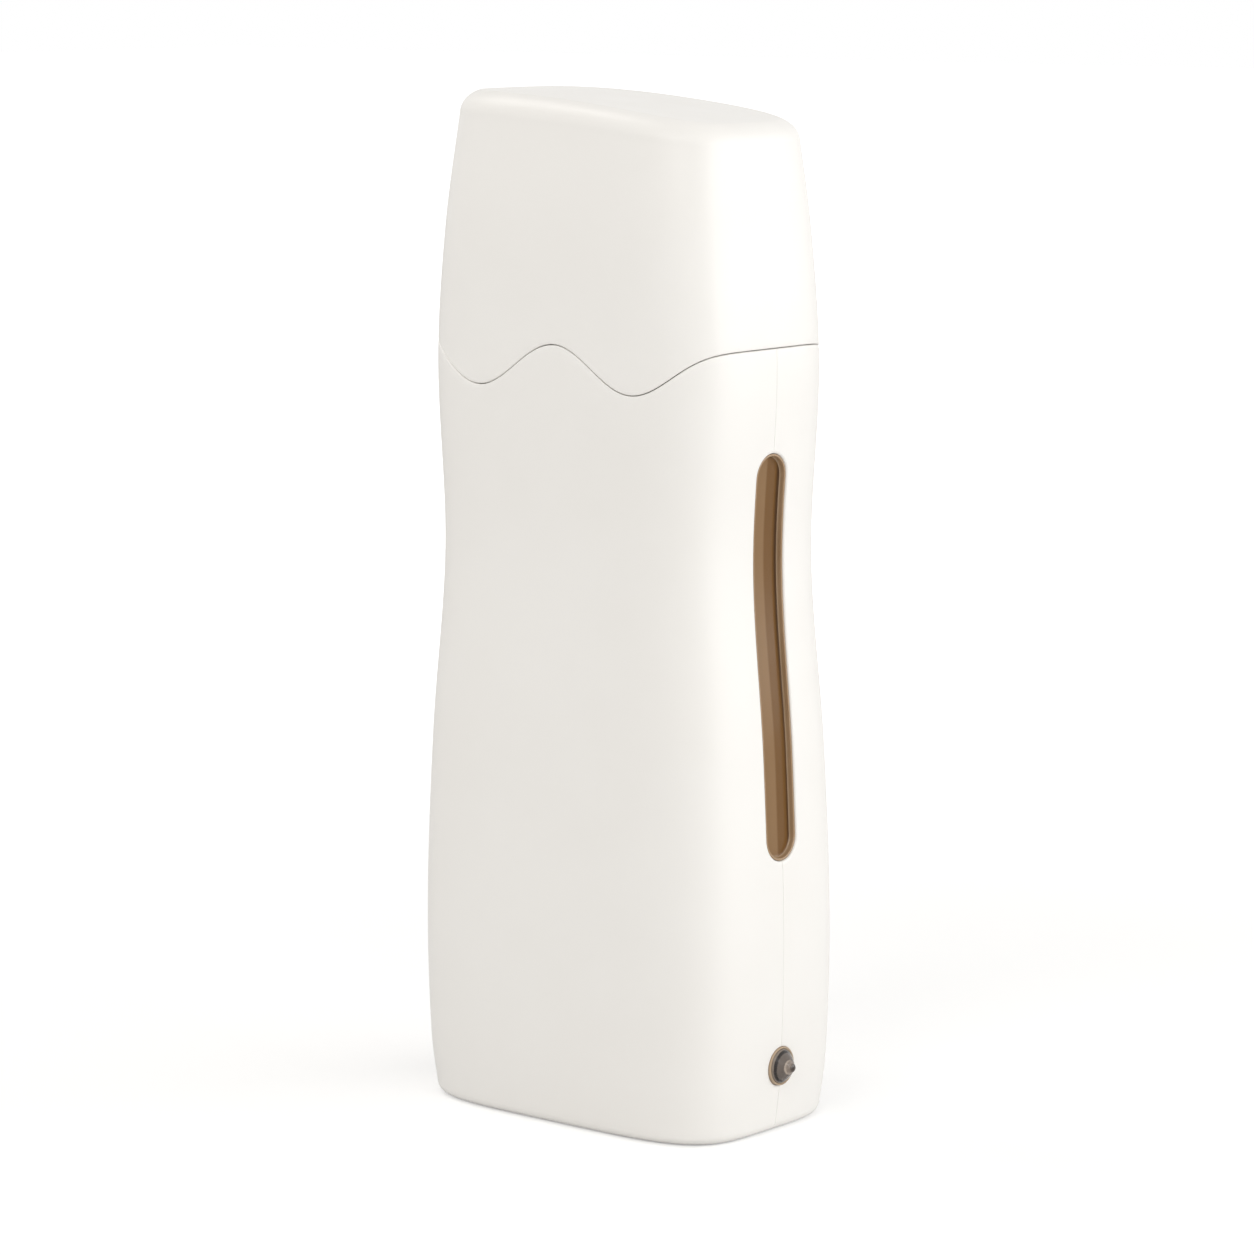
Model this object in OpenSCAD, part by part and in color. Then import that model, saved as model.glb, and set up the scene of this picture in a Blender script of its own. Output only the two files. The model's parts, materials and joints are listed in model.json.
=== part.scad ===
// Roll-on wax heater: a hand-held warmer that takes one wax cartridge under a lift-off cap.
// Millimetres. X runs across, the front faces -Y and Z is up. The origin is the middle of the base.

/* [Cartridge] */
// Width of the cartridge bottle
bottle_width = 53; // [50:0.5:58]
// Depth of the cartridge bottle
bottle_depth = 31.5; // [29:0.5:35]
// Height of the bottle's straight body
bottle_height = 84; // [76:1:92]
// Corner radius of the bottle
bottle_round = 9; // [7:0.5:12]
// Wall of the bottle
bottle_wall = 1.2; // [0.8:0.1:2]
// Height of the sloping shoulder
shoulder_height = 8.6; // [6:0.2:12]
// Width of the bottle's neck
neck_width = 40; // [34:1:44]
// Depth of the bottle's neck
neck_depth = 19; // [15:0.5:22]
// Height of the bottle's neck
neck_height = 5; // [3:0.5:7]
// Height of the wax in the bottle
wax_height = 66; // [20:1:74]

/* [Roller] */
// Diameter of the roller
roller_diameter = 17; // [14:0.5:19]
// Length of the roller
roller_length = 40.6; // [34:0.2:44]
// Diameter of the roller's end pins
pin_diameter = 4; // [3:0.2:5]
// Length of each end pin
pin_length = 2.4; // [1.6:0.2:3]
// Running clearance round each end pin
pin_play = 0.05; // [0.02:0.01:0.1]
// Gap between the roller and its trough
trough_gap = 0.4; // [0.3:0.05:0.8]
// Gap between the roller and each cheek
cheek_gap = 0.3; // [0.3:0.05:0.6]
// Thickness of each cheek beside the roller
cheek_wall = 2.9; // [2.8:0.1:4]
// Height of the roller's axis above the neck's foot
axis_rise = 22; // [19:0.5:26]
// Depth of the roller head
head_depth = 25; // [23:0.5:30]

/* [Chamber] */
// Gap round the cartridge in its chamber
bottle_gap = 0.7; // [0.4:0.1:1.2]
// Wall of the chamber liner
liner_wall = 1.4; // [1:0.1:2]
// Height of the cartridge's underside above the table
cartridge_stand = 53.4; // [50:0.2:62]
// Height of the two ribs that the cartridge stands on
rib_height = 6; // [5:0.2:8]
// Width of each of those ribs
rib_width = 5; // [4:0.2:7]
// Thickness of the aluminium heat plate
plate_thick = 1.5; // [1:0.1:2]
// Width of the heat plate
plate_width = 39.6; // [38:0.2:44]
// Height of the heat plate's back leg above the chamber floor
plate_rise = 48; // [20:1:60]

/* [Housing] */
// Wall of the two housing shells
shell_wall = 2.2; // [1.8:0.1:2.4]
// Thickness of the housing's floor
floor_wall = 2.5; // [2.2:0.1:3.5]
// Air between liner and shell at the waist, on each narrow side
side_air = 3.43; // [3:0.05:6]
// Air between liner and shell at the waist, in front and behind
front_air = 1.78; // [1.6:0.02:4]
// Squareness of the housing's rounded-rectangle section
squareness = 4.4; // [3.6:0.1:5]
// Rounding of the bottom edge
base_round = 1.6; // [0.8:0.1:2.4]
// Distance of the rubber feet below the housing
foot_stand = 0.8; // [0.5:0.1:1.6]

/* [Outline, added to the waist on each side] */
// Height of the skirt above the table
skirt_height = 12; // [10:0.5:16]
// Height of the widest place above the table
belly_height = 38; // [34:1:42]
// Distance of the flank below the waist
flank_drop = 36; // [30:1:40]
// Distance of the waist below the parting line
waist_drop = 40.6; // [36:0.2:46]
// Distance of the brim below the parting line
brim_drop = 4.6; // [3:0.2:8]
// Distance of the temple above the parting line
temple_rise = 21.4; // [18:0.2:25]
// Half-width added at the foot
foot_flare = 1.96; // [1:0.02:3]
// Half-width added at the skirt
skirt_flare = 3.31; // [2.6:0.01:3.6]
// Half-width added at the belly
belly_flare = 3.94; // [3.5:0.02:5]
// Half-width added at the flank
flank_flare = 2.63; // [2:0.01:3.2]
// Half-width added at the brim
brim_flare = 1.68; // [1:0.02:2.4]
// Half-width taken off at the temple
temple_draw = 0.21; // [0:0.01:1]
// Half-width taken off at the crown
crown_draw = 2.73; // [2:0.01:3.4]
// Half-depth added at the foot
foot_bulge = 0.92; // [0.5:0.02:1.5]
// Half-depth added at the skirt
skirt_bulge = 1.94; // [1.5:0.02:2.1]
// Half-depth added at the belly
belly_bulge = 2.21; // [2:0.01:3]
// Half-depth added at the flank
flank_bulge = 1.44; // [1:0.02:2]
// Half-depth taken off at the temple
temple_tuck = 0.63; // [0.3:0.01:1]
// Half-depth taken off at the crown
crown_tuck = 3.2; // [2.4:0.1:3.8]

/* [Cap and parting line] */
// Height of the parting line above the bottle's shoulder
joint_rise = 11.2; // [9:0.2:14]
// Depth of each dip of the parting line
wave_depth = 8.4; // [0:0.1:9]
// Distance between the crest and the sides of the parting line
wave_period = 37.2; // [34:0.2:40]
// Open gap along the parting line
joint_gap = 0.4; // [0.3:0.05:0.8]
// Wall of the cap
cap_wall = 2; // [1.6:0.1:2.4]
// Clear height between the roller and the underside of the cap's top
headroom = 14; // [10:0.5:20]
// Fall of the cap's top for each millimetre across
top_slope = 0.083; // [0:0.001:0.1]
// Crown of the cap's top across its width
top_crown = 1.1; // [0:0.1:2]
// Rounding of the cap's top edge
top_round = 4.8; // [3:0.1:6]
// Gap between the cap and the neck collar
collar_gap = 0.3; // [0.3:0.05:0.6]
// Wall of the neck collar
collar_wall = 1.6; // [1.2:0.1:1.8]
// Height of the collar above the parting line
collar_rise = 8.4; // [6:0.2:12]
// Depth of the collar below the parting line
collar_drop = 14; // [13:0.2:15]
// Thickness of the collar's top web
collar_web = 1.6; // [1.2:0.1:2]

/* [Level window] */
// Width of the window slot
window_width = 9; // [7:0.2:11]
// Distance of the slot's lower end below the cartridge
window_below = 1; // [0:0.1:2]
// Distance of the slot's upper end below the bottle's shoulder
window_top_drop = 8.4; // [8:0.1:20]
// Depth of the pane behind the housing's surface
window_recess = 1.4; // [0.8:0.1:1.6]
// Thickness of the pane
pane_thick = 1.6; // [1.2:0.1:2]
// Width of the flange behind the shell, beyond the slot
window_flange = 2.4; // [1.5:0.1:3]
// Rim that stands up round the window's sunk pane
window_rim = 0.4; // [0.3:0.05:0.8]
// Clearance round the pane in its slot
window_fit = 0.1; // [0.05:0.01:0.2]

/* [Pilot lamp] */
// Height of the pilot lamp above the table
lamp_height = 13; // [12:0.2:16]
// Diameter of the lamp's flange
lamp_flange = 6.5; // [6.2:0.1:7.4]
// Diameter of the lamp's rounded tip
lamp_tip = 1.9; // [1.4:0.1:2.8]
// Reach of the tip beyond the housing
lamp_reach = 3.2; // [2:0.1:4]
// Width of the bezel ring round the flange
bezel_width = 0.45; // [0.4:0.05:0.8]

/* [Mains inlet] */
// Height of the mains inlet above the table
inlet_height = 17; // [15.5:0.1:18]
// Width of the inlet's socket
socket_width = 8.2; // [8:0.1:8.6]
// Distance between the inlet's pins
pin_pitch = 8.6; // [8.4:0.1:9]
// Depth of the socket
socket_depth = 12.5; // [11:0.1:14]
// Diameter of each contact pin
contact_diameter = 2.4; // [2:0.1:2.8]
// Wall round the socket
socket_wall = 1.4; // [1.2:0.1:1.8]

/* [Fasteners and feet] */
// Diameter of a housing screw's shank
screw_diameter = 2.9; // [2.5:0.1:3.2]
// Diameter of a housing screw's head
screw_head = 5.6; // [5:0.1:6]
// Radial clearance of a screw in its hole
screw_fit = 0.05; // [0.03:0.01:0.1]
// Diameter of each rubber foot
foot_diameter = 8; // [6:0.5:10]
// Diameter of the insulated leads
lead_diameter = 1.6; // [1.2:0.1:1.8]

/* [Hidden] */
$fn = 48;
overlap = 0.5; // how far joined pieces of one solid reach into each other

// ---- sizes that follow from the cartridge ----
chamber_width = bottle_width + 2 * bottle_gap;
chamber_depth = bottle_depth + 2 * bottle_gap;
chamber_round = bottle_round + bottle_gap;
liner_width = chamber_width + 2 * liner_wall;
liner_depth = chamber_depth + 2 * liner_wall;
liner_round = chamber_round + liner_wall;
liner_base = cartridge_stand - rib_height - liner_wall;
shoulder_level = cartridge_stand + bottle_height;
neck_level = shoulder_level + shoulder_height;
axis_level = neck_level + axis_rise;
roller_top = axis_level + roller_diameter / 2;
cheek_inside = roller_length / 2 + cheek_gap;
head_half = cheek_inside + cheek_wall;

// ---- sizes of the housing ----
joint_level = shoulder_level + joint_rise;
top_level = roller_top + headroom + cap_wall;
waist_w = liner_width / 2 + side_air + shell_wall;
waist_d = liner_depth / 2 + front_air + shell_wall;
waist_level = joint_level - waist_drop;
inner_floor = foot_stand + floor_wall;

// Stations of the outline from foot to crown: height, half-width, half-depth
STATIONS = [
    [0, waist_w + foot_flare, waist_d + foot_bulge],
    [skirt_height, waist_w + skirt_flare, waist_d + skirt_bulge],
    [belly_height, waist_w + belly_flare, waist_d + belly_bulge],
    [waist_level - flank_drop, waist_w + flank_flare, waist_d + flank_bulge],
    [waist_level, waist_w, waist_d],
    [joint_level - brim_drop, waist_w + brim_flare, waist_d],
    [joint_level + temple_rise, waist_w - temple_draw, waist_d - temple_tuck],
    [top_level, waist_w - crown_draw, waist_d - crown_tuck],
];
LAST = len(STATIONS) - 1;

// Slope of a column of the stations at station i
function station_slope(i, c) =
    let (a = max(i - 1, 0), b = min(i + 1, LAST))
    (STATIONS[b][c] - STATIONS[a][c]) / (STATIONS[b][0] - STATIONS[a][0]);

// Station just below height z
function station_below(z, i = 0) =
    i >= LAST - 1 || z < STATIONS[i + 1][0] ? i : station_below(z, i + 1);

// Smooth curve through one column of the stations
function swell(z, c) =
    let (
        i = station_below(z),
        span = STATIONS[i + 1][0] - STATIONS[i][0],
        t = (z - STATIONS[i][0]) / span,
        u = 1 - t
    )
    STATIONS[i][c] * u * u * (1 + 2 * t) + STATIONS[i + 1][c] * t * t * (3 - 2 * t)
    + span * t * u * (station_slope(i, c) * u - station_slope(i + 1, c) * t);

function half_width(z) = swell(z, 1);
function half_depth(z) = swell(z, 2);

// Depth of the housing's wall at x and z, set in by inset
function wall_y(x, z, inset) =
    (half_depth(z) - inset) * pow(1 - pow(abs(x) / (half_width(z) - inset), squareness), 1 / squareness);

// ---- the section: a rounded rectangle drawn as points on a unit curve ----
FLAT_SHARE = 0.8; // share of the half-width drawn in even steps
SIDE_SHARE = 0.7; // share of the half-depth drawn in even steps
FLAT_STEPS = 9;
CORNER_STEPS = 6;
SIDE_STEPS = 4;

function partner(u) = pow(1 - pow(u, squareness), 1 / squareness);
corner_start = acos(pow(FLAT_SHARE, squareness / 2));
corner_end = acos(pow(partner(SIDE_SHARE), squareness / 2));

// A quarter of the unit curve, from the middle of the front to the middle of the side
QUARTER = concat(
    [for (i = [0 : FLAT_STEPS]) let (u = FLAT_SHARE * i / FLAT_STEPS) [u, partner(u)]],
    [for (i = [1 : CORNER_STEPS - 1])
        let (t = corner_start + (corner_end - corner_start) * i / CORNER_STEPS)
        [pow(cos(t), 2 / squareness), pow(sin(t), 2 / squareness)]],
    [for (i = [SIDE_STEPS : -1 : 0]) let (v = SIDE_SHARE * i / SIDE_STEPS) [partner(v), v]]
);
Q = len(QUARTER);

// The front half runs from the left side round the front to the right side
FRONT_HALF = concat(
    [for (i = [Q - 1 : -1 : 1]) [-QUARTER[i][0], -QUARTER[i][1]]],
    [for (i = [0 : Q - 1]) [QUARTER[i][0], -QUARTER[i][1]]]
);
WHOLE_RING = concat(
    FRONT_HALF,
    [for (i = [Q - 2 : -1 : 0]) [QUARTER[i][0], QUARTER[i][1]]],
    [for (i = [1 : Q - 2]) [-QUARTER[i][0], QUARTER[i][1]]]
);

// Height of the wavy parting line, for a point u across the unit curve
function wave(u) = wave_depth / 2 * (1 - cos(360 * u * half_width(joint_level) / wave_period));
function joint_line(u) = joint_level - wave(u);

// Height of the cap's top above its edge level, for a point u across the unit curve
crown_half = half_width(top_level);
function top_line(u) = top_crown * (1 - u * u) - top_slope * u * crown_half;

// One ring of points, at the height that f gives for each point's place across
function ring_at(ring, inset, heights) = [
    for (j = [0 : len(ring) - 1])
        let (z = heights[j])
        [ring[j][0] * (half_width(z) - inset), ring[j][1] * (half_depth(z) - inset), z]
];
function level(ring, z) = [for (p = ring) z];

// ---- solids woven from rings of points ----
// The rings run up the outside, over the rim and down the inside, from pole to pole. Rings that
// don't close get two end faces, laced along the pairs of an outer and an inner ring in LACING.
module woven(rings, first_pole, last_pole, LACING = []) {
    m = len(rings[0]);
    k = len(rings);
    last = 1 + k * m;
    steps = len(LACING) == 0 ? m : m - 1;
    function at(r, j) = r < 0 ? 0 : r >= k ? last : 1 + r * m + j % m;
    function laced(a, b, j) = concat(
        a[0] == b[0] ? [] : [[at(a[0], j), at(b[0], j), at(b[1], j)]],
        a[1] == b[1] ? [] : [[at(a[0], j), at(b[1], j), at(a[1], j)]]
    );
    function turned(faces) = [for (f = faces) [f[2], f[1], f[0]]];
    first_fan = [for (j = [0 : steps - 1]) [0, at(0, j), at(0, j + 1)]];
    last_fan = [for (j = [0 : steps - 1]) [last, at(k - 1, j + 1), at(k - 1, j)]];
    bands = [
        for (r = [0 : k - 2], j = [0 : steps - 1])
            each [[at(r, j), at(r + 1, j), at(r + 1, j + 1)], [at(r, j), at(r + 1, j + 1), at(r, j + 1)]]
    ];
    ends = len(LACING) == 0 ? [] : [
        for (i = [0 : len(LACING) - 2])
            each concat(turned(laced(LACING[i], LACING[i + 1], 0)), laced(LACING[i], LACING[i + 1], m - 1))
    ];
    polyhedron(
        points = concat([first_pole], [for (r = rings) each r], [last_pole]),
        faces = concat(first_fan, bands, last_fan, ends)
    );
}

// A bar with round corners and true cylindrical corner faces, its foot at z
module round_bar(width, depth, radius, z, height) {
    translate([0, 0, z]) {
        translate([-width / 2 + radius, -depth / 2, 0]) cube([width - 2 * radius, depth, height]);
        translate([-width / 2, -depth / 2 + radius, 0]) cube([width, depth - 2 * radius, height]);
        for (x = [-1, 1], y = [-1, 1])
            translate([x * (width / 2 - radius), y * (depth / 2 - radius), 0])
                cylinder(r = radius, h = height);
    }
}

// A round-ended slot that runs along X between x1 and x2, upright from z1 to z2
module slot_along_x(width, z1, z2, x1, x2) {
    r = width / 2;
    translate([x1, -r, z1 + r]) cube([x2 - x1, width, z2 - z1 - width]);
    for (z = [z1 + r, z2 - r])
        translate([x1, 0, z]) rotate([0, 90, 0]) cylinder(r = r, h = x2 - x1);
}

// A rod along Y from y1 to y2
module rod_y(x, z, diameter, y1, y2) {
    translate([x, y1, z]) rotate([-90, 0, 0]) cylinder(d = diameter, h = y2 - y1);
}

// A rod along X from x1 to x2
module rod_x(y, z, diameter, x1, x2) {
    translate([x1, y, z]) rotate([0, 90, 0]) cylinder(d = diameter, h = x2 - x1);
}

// A slab that follows the narrow side's curve between two insets, from z1 to z2
SLAB_STEPS = 12;
module side_slab(inset_1, inset_2, z1, z2, width) {
    levels = [for (i = [0 : SLAB_STEPS]) z1 + (z2 - z1) * i / SLAB_STEPS];
    curve_1 = [for (z = levels) [half_width(z) - inset_1, z]];
    curve_2 = [for (i = [SLAB_STEPS : -1 : 0]) [half_width(levels[i]) - inset_2, levels[i]]];
    translate([0, width / 2, 0]) rotate([90, 0, 0])
        linear_extrude(height = width) polygon(concat(curve_1, curve_2));
}

// Point at s on a smooth curve through the points P, where s counts the points
function on_curve(P, s) =
    let (
        n = len(P) - 1,
        i = min(floor(s), n - 1),
        t = s - i,
        u = 1 - t,
        leave = i > 0 ? (P[i + 1] - P[i - 1]) / 2 : P[i + 1] - P[i],
        arrive = i < n - 1 ? (P[i + 2] - P[i]) / 2 : P[i + 1] - P[i]
    )
    P[i] * u * u * (1 + 2 * t) + P[i + 1] * t * t * (3 - 2 * t) + (leave * u - arrive * t) * t * u;

// An insulated lead: a tube along a smooth curve, its section turned square to it
LEAD_SIDES = 6;
LEAD_CUTS = 3; // rings between two points
// Side directions carried along a path without a twist
function carried(along, before, k = 0) =
    k == len(along) ? [] :
    let (
        t = along[k] / norm(along[k]),
        flat = before - (before * t) * t,
        u = flat / norm(flat)
    )
    concat([u], carried(along, u, k + 1));

module lead(points) {
    ends = len(points) - 1;
    n = ends * LEAD_CUTS;
    path = [for (k = [0 : n]) on_curve(points, k / LEAD_CUTS)];
    along = [for (k = [0 : n])
        k == 0 ? points[1] - points[0] : k == n ? points[ends] - points[ends - 1] : path[k + 1] - path[k - 1]];
    sides = carried(along, cross([0.31, 0.95, 0.12], along[0]));
    rings = [for (k = [0 : n])
        let (u = sides[k], v = cross(along[k] / norm(along[k]), u))
        [for (a = [0 : 360 / LEAD_SIDES : 359]) path[k] + lead_diameter / 2 * (cos(a) * u + sin(a) * v)]];
    woven(rings, path[0], path[n]);
}

// ---- places shared by several pieces ----
window_low = cartridge_stand - window_below;
window_high = shoulder_level - window_top_drop;
collar_foot = joint_level - collar_drop;
collar_top = joint_level + collar_rise;
ledge_height = 2;
ledge_depth = min(1.6, front_air - 0.5);
liner_seat_fit = 0.05; // play of the liner's top in the collar

screw_play = screw_diameter + 2 * screw_fit;
tower_diameter = 8.4;
counterbore = screw_head + 0.6;
boss_diameter = 7;
boss_meet = 0.05; // half the gap between the front bosses and the rear towers
tower_floor = 2.5; // material under a screw's head
housing_screw_length = 14;
screw_head_height = 2;
screw_drop = 11; // upper screws below the liner
upper_screw = [bottle_width / 2 + 0.5, liner_base - screw_drop];
lower_screw = [12, inner_floor + 5.2];
HOUSING_SCREWS = [for (s = [-1, 1]) each [[s * upper_screw[0], upper_screw[1]], [s * lower_screw[0], lower_screw[1]]]];

plate_foot = liner_base - plate_thick;
plate_front = -15;
rib_offset = 12; // from the middle to the ribs under the cartridge and the screws in them
thermostat_x = -10.5;
heater_x = 10;
PLATE_SCREWS = [for (x = [thermostat_x, heater_x], y = [-rib_offset, rib_offset]) [x, y]];

board_thick = 1.6;
board_face = -12.6;
board_post = [13, 26];
board_screw_length = 6;

foot_place = [24, 13.5];
foot_seat = 1.6; // depth of each foot in the floor

// ---- housing ----
// One bare half-shell in front of the seam, with the ledge that the neck collar stands on
module half_shell() {
    edge = [for (a = [0 : 30 : 90]) [base_round * (1 - sin(a)), base_round * (1 - cos(a))]];
    ledge_top = collar_foot;
    ledge_low = ledge_top - ledge_height;
    climb = 10;
    climbs = [for (i = [0 : climb]) inner_floor + (ledge_low - ledge_depth - inner_floor) * i / climb];
    // Height share s of the way from the ledge's top to the parting line
    function brim(s) = [for (p = FRONT_HALF) ledge_top + (joint_line(p[0]) - ledge_top) * s];
    outside = concat(
        [for (e = edge) ring_at(FRONT_HALF, e[0], level(FRONT_HALF, foot_stand + e[1]))],
        [for (i = [1 : climb]) ring_at(FRONT_HALF, 0, level(FRONT_HALF, climbs[i]))],
        [for (z = [ledge_low, ledge_top]) ring_at(FRONT_HALF, 0, level(FRONT_HALF, z))],
        [for (s = [0.5, 1]) ring_at(FRONT_HALF, 0, brim(s))]
    );
    inside = concat(
        [for (s = [1, 0.5]) ring_at(FRONT_HALF, shell_wall, brim(s))],
        [for (step = [[0, ledge_top], [ledge_depth, ledge_top], [ledge_depth, ledge_low]])
            ring_at(FRONT_HALF, shell_wall + step[0], level(FRONT_HALF, step[1]))],
        [for (i = [climb : -1 : 0]) ring_at(FRONT_HALF, shell_wall, level(FRONT_HALF, climbs[i]))]
    );
    rim = len(outside) - 1;
    floor_ring = len(outside) + len(inside) - 1;
    corner = len(edge) - 1;
    ledge_ring = corner + climb + 1;
    woven(
        concat(outside, inside), [0, 0, foot_stand], [0, 0, inner_floor],
        concat(
            [[-1, floor_ring + 1]],
            [for (i = [0 : corner]) [i, floor_ring]],
            [for (i = [1 : climb]) [corner + i, floor_ring - i]],
            [for (i = [1 : 3]) [ledge_ring, floor_ring - climb - i]],
            [for (i = [0 : 2]) [rim - 2 + i, rim + 3 - i]]
        )
    );
}

// Openings in the seam for the window, the lamp and the inlet, and the seats of the feet
module shell_openings() {
    slot_along_x(window_width, window_low, window_high, liner_width / 2, half_width(belly_height) + overlap);
    rod_x(0, lamp_height, lamp_stem + 2 * lamp_fit, half_width(lamp_height) - 3 * shell_wall, lamp_seat + overlap);
    rod_x(0, lamp_height, lamp_flange + 2 * bezel_width + 2 * lamp_fit, lamp_seat, half_width(belly_height) + overlap);
    slot_along_x(inlet_body_width + 2 * inlet_fit, inlet_low - inlet_fit, inlet_high + inlet_fit,
        -half_width(belly_height) - overlap, -half_width(inlet_height) + 3 * shell_wall);
    for (x = [-1, 1], y = [-1, 1])
        translate([x * foot_place[0], y * foot_place[1], foot_stand - overlap])
            cylinder(d = foot_diameter + 0.1, h = foot_seat + overlap);
}

// A rib from the shell's wall that carries the edge of the chamber liner
module liner_shelf(side) {
    x = side * (upper_screw[0] - 2);
    outer = wall_y(x, liner_base - 4, shell_wall / 2);
    inner = liner_depth / 2 - liner_round + 3;
    translate([x - 1, -outer, upper_screw[1]]) cube([2, outer - inner, liner_base - upper_screw[1]]);
}

module front_shell() {
    color("ghostwhite")
        difference() {
            union() {
                half_shell();
                for (s = HOUSING_SCREWS)
                    rod_y(s[0], s[1], boss_diameter, -wall_y(s[0], s[1], shell_wall / 2), -boss_meet);
                for (side = [-1, 1]) {
                    liner_shelf(side);
                    rod_y(side * board_post[0], board_post[1], 5,
                        -wall_y(board_post[0], board_post[1], shell_wall / 2), board_face - board_thick);
                }
            }
            shell_openings();
            for (s = HOUSING_SCREWS)
                rod_y(s[0], s[1], screw_play, boss_meet + tower_floor - housing_screw_length - 1, boss_meet + 1);
            for (side = [-1, 1])
                rod_y(side * board_post[0], board_post[1], screw_play,
                    board_face - board_screw_length - 0.5, board_face);
        }
}

module rear_shell() {
    color("ghostwhite")
        difference() {
            union() {
                mirror([0, 1, 0]) half_shell();
                for (s = HOUSING_SCREWS)
                    rod_y(s[0], s[1], tower_diameter, boss_meet, wall_y(s[0], s[1], shell_wall / 2));
                mirror([0, 1, 0]) for (side = [-1, 1]) liner_shelf(side);
            }
            shell_openings();
            for (s = HOUSING_SCREWS) {
                rod_y(s[0], s[1], screw_play, boss_meet - 1, boss_meet + tower_floor + 1);
                rod_y(s[0], s[1], counterbore, boss_meet + tower_floor, half_depth(belly_height) + overlap);
            }
        }
}

// The lift-off cap, open below, with a wavy rim and a sloping crowned top
module cap() {
    rim = [for (p = WHOLE_RING) joint_line(p[0]) + joint_gap];
    shrink = [1, 0.67, 0.34];
    function roll(steps) = [for (i = [0 : steps]) [1 - cos(90 * i / steps), sin(90 * i / steps)]];
    function skin(inset, drop, radius, climb, steps) = concat(
        [for (i = [0 : climb - 1]) ring_at(WHOLE_RING, inset, [for (j = [0 : len(WHOLE_RING) - 1])
            rim[j] + (top_level - drop - radius + top_line(WHOLE_RING[j][0]) - rim[j]) * i / climb])],
        [for (s = roll(steps)) [for (p = WHOLE_RING)
            [p[0] * (half_width(top_level - radius) - inset - radius * s[0]),
             p[1] * (half_depth(top_level - radius) - inset - radius * s[0]),
             top_level - drop - radius + radius * s[1] + top_line(p[0])]]],
        [for (i = [1 : len(shrink) - 1]) [for (p = WHOLE_RING)
            [shrink[i] * p[0] * (half_width(top_level - radius) - inset - radius),
             shrink[i] * p[1] * (half_depth(top_level - radius) - inset - radius),
             top_level - drop + top_line(shrink[i] * p[0])]]]
    );
    outside = skin(0, 0, top_round, 7, 4);
    inside = skin(cap_wall, cap_wall, top_round - cap_wall, 4, 2);
    color("ghostwhite")
        woven(
            concat([for (i = [len(inside) - 1 : -1 : 0]) inside[i]], outside),
            [0, 0, top_level - cap_wall + top_crown], [0, 0, top_level + top_crown]
        );
}

// The collar that the shells clamp and that the cap slides over
module neck_collar() {
    set_in = max(shell_wall, cap_wall) + collar_gap;
    climb = 4;
    function wall_rings(inset, low, high) = [
        for (i = [0 : climb]) ring_at(WHOLE_RING, inset, level(WHOLE_RING, low + (high - low) * i / climb))
    ];
    outside = wall_rings(set_in, collar_foot, collar_top);
    inside = wall_rings(set_in + collar_wall, collar_foot, collar_top - collar_web);
    color("whitesmoke")
        difference() {
            woven(
                concat([for (i = [climb : -1 : 0]) inside[i]], outside),
                [0, 0, collar_top - collar_web], [0, 0, collar_top]
            );
            round_bar(chamber_width, chamber_depth, chamber_round, collar_top - 2 * collar_web, 3 * collar_web);
            // seat of the liner's top
            round_bar(liner_width + 2 * liner_seat_fit, liner_depth + 2 * liner_seat_fit, liner_round + liner_seat_fit,
                collar_foot - 1, collar_top - collar_web - collar_foot + 1);
        }
}

// ---- chamber ----
module chamber_liner() {
    cut_width = plate_width + 0.4;
    color("gainsboro")
        difference() {
            union() {
                round_bar(liner_width, liner_depth, liner_round, liner_base, collar_top - collar_web - liner_base);
                // bars that press the window's flange against the shell
                for (y = [-1, 1])
                    translate([0, y * (window_width / 2 + window_flange / 2), 0])
                        intersection() {
                            side_slab(shell_wall + flange_gap + flange_thick + 0.1, half_width(belly_height) - liner_width / 2 + 1.5,
                                window_low + 2, window_high - 2, 1.4);
                            translate([liner_width / 2 - 0.7, -2, window_low]) cube([20, 4, window_high - window_low]);
                        }
            }
            difference() {
                round_bar(chamber_width, chamber_depth, chamber_round, liner_base + liner_wall, collar_top);
                for (y = [-rib_offset, rib_offset])
                    translate([-chamber_width / 2 + chamber_round, y - rib_width / 2, liner_base])
                        cube([chamber_width - 2 * chamber_round, rib_width, liner_wall + rib_height]);
            }
            slot_along_x(window_width, window_low + 2, window_high - 2, liner_width / 2 - 4, liner_width / 2 + 8);
            translate([-cut_width / 2, chamber_depth / 2 - 0.2, liner_base - 1])
                cube([cut_width, liner_wall + 1, plate_rise + liner_wall + 1.2]);
            for (s = PLATE_SCREWS)
                translate([s[0], s[1], liner_base - 1]) cylinder(d = screw_play, h = 1 + plate_screw_grip);
        }
}

// Aluminium plate, bent under the chamber floor and up behind the cartridge
plate_screw_grip = 4;
module heat_plate() {
    back = chamber_depth / 2;
    color("silver")
        difference() {
            union() {
                translate([-plate_width / 2, plate_front, plate_foot])
                    cube([plate_width, back + plate_thick - plate_front, plate_thick]);
                translate([-plate_width / 2, back, plate_foot])
                    cube([plate_width, plate_thick, plate_rise + plate_thick + liner_wall]);
            }
            for (s = PLATE_SCREWS)
                translate([s[0], s[1], plate_foot - 1]) cylinder(d = screw_play, h = plate_thick + 2);
        }
}

heater_size = [18, 15, 4];
strap_thick = 1;
ear_thick = 1;
module ptc_heater() {
    color("wheat")
        translate([heater_x - heater_size[0] / 2, -heater_size[1] / 2, plate_foot - heater_size[2]])
            cube(heater_size);
    color("silver")
        for (y = [-5, 5])
            translate([heater_x + heater_size[0] / 2 - overlap, y - 1.5, plate_foot - heater_size[2] / 2 - 0.4])
                cube([4 + overlap, 3, 0.8]);
}

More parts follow.
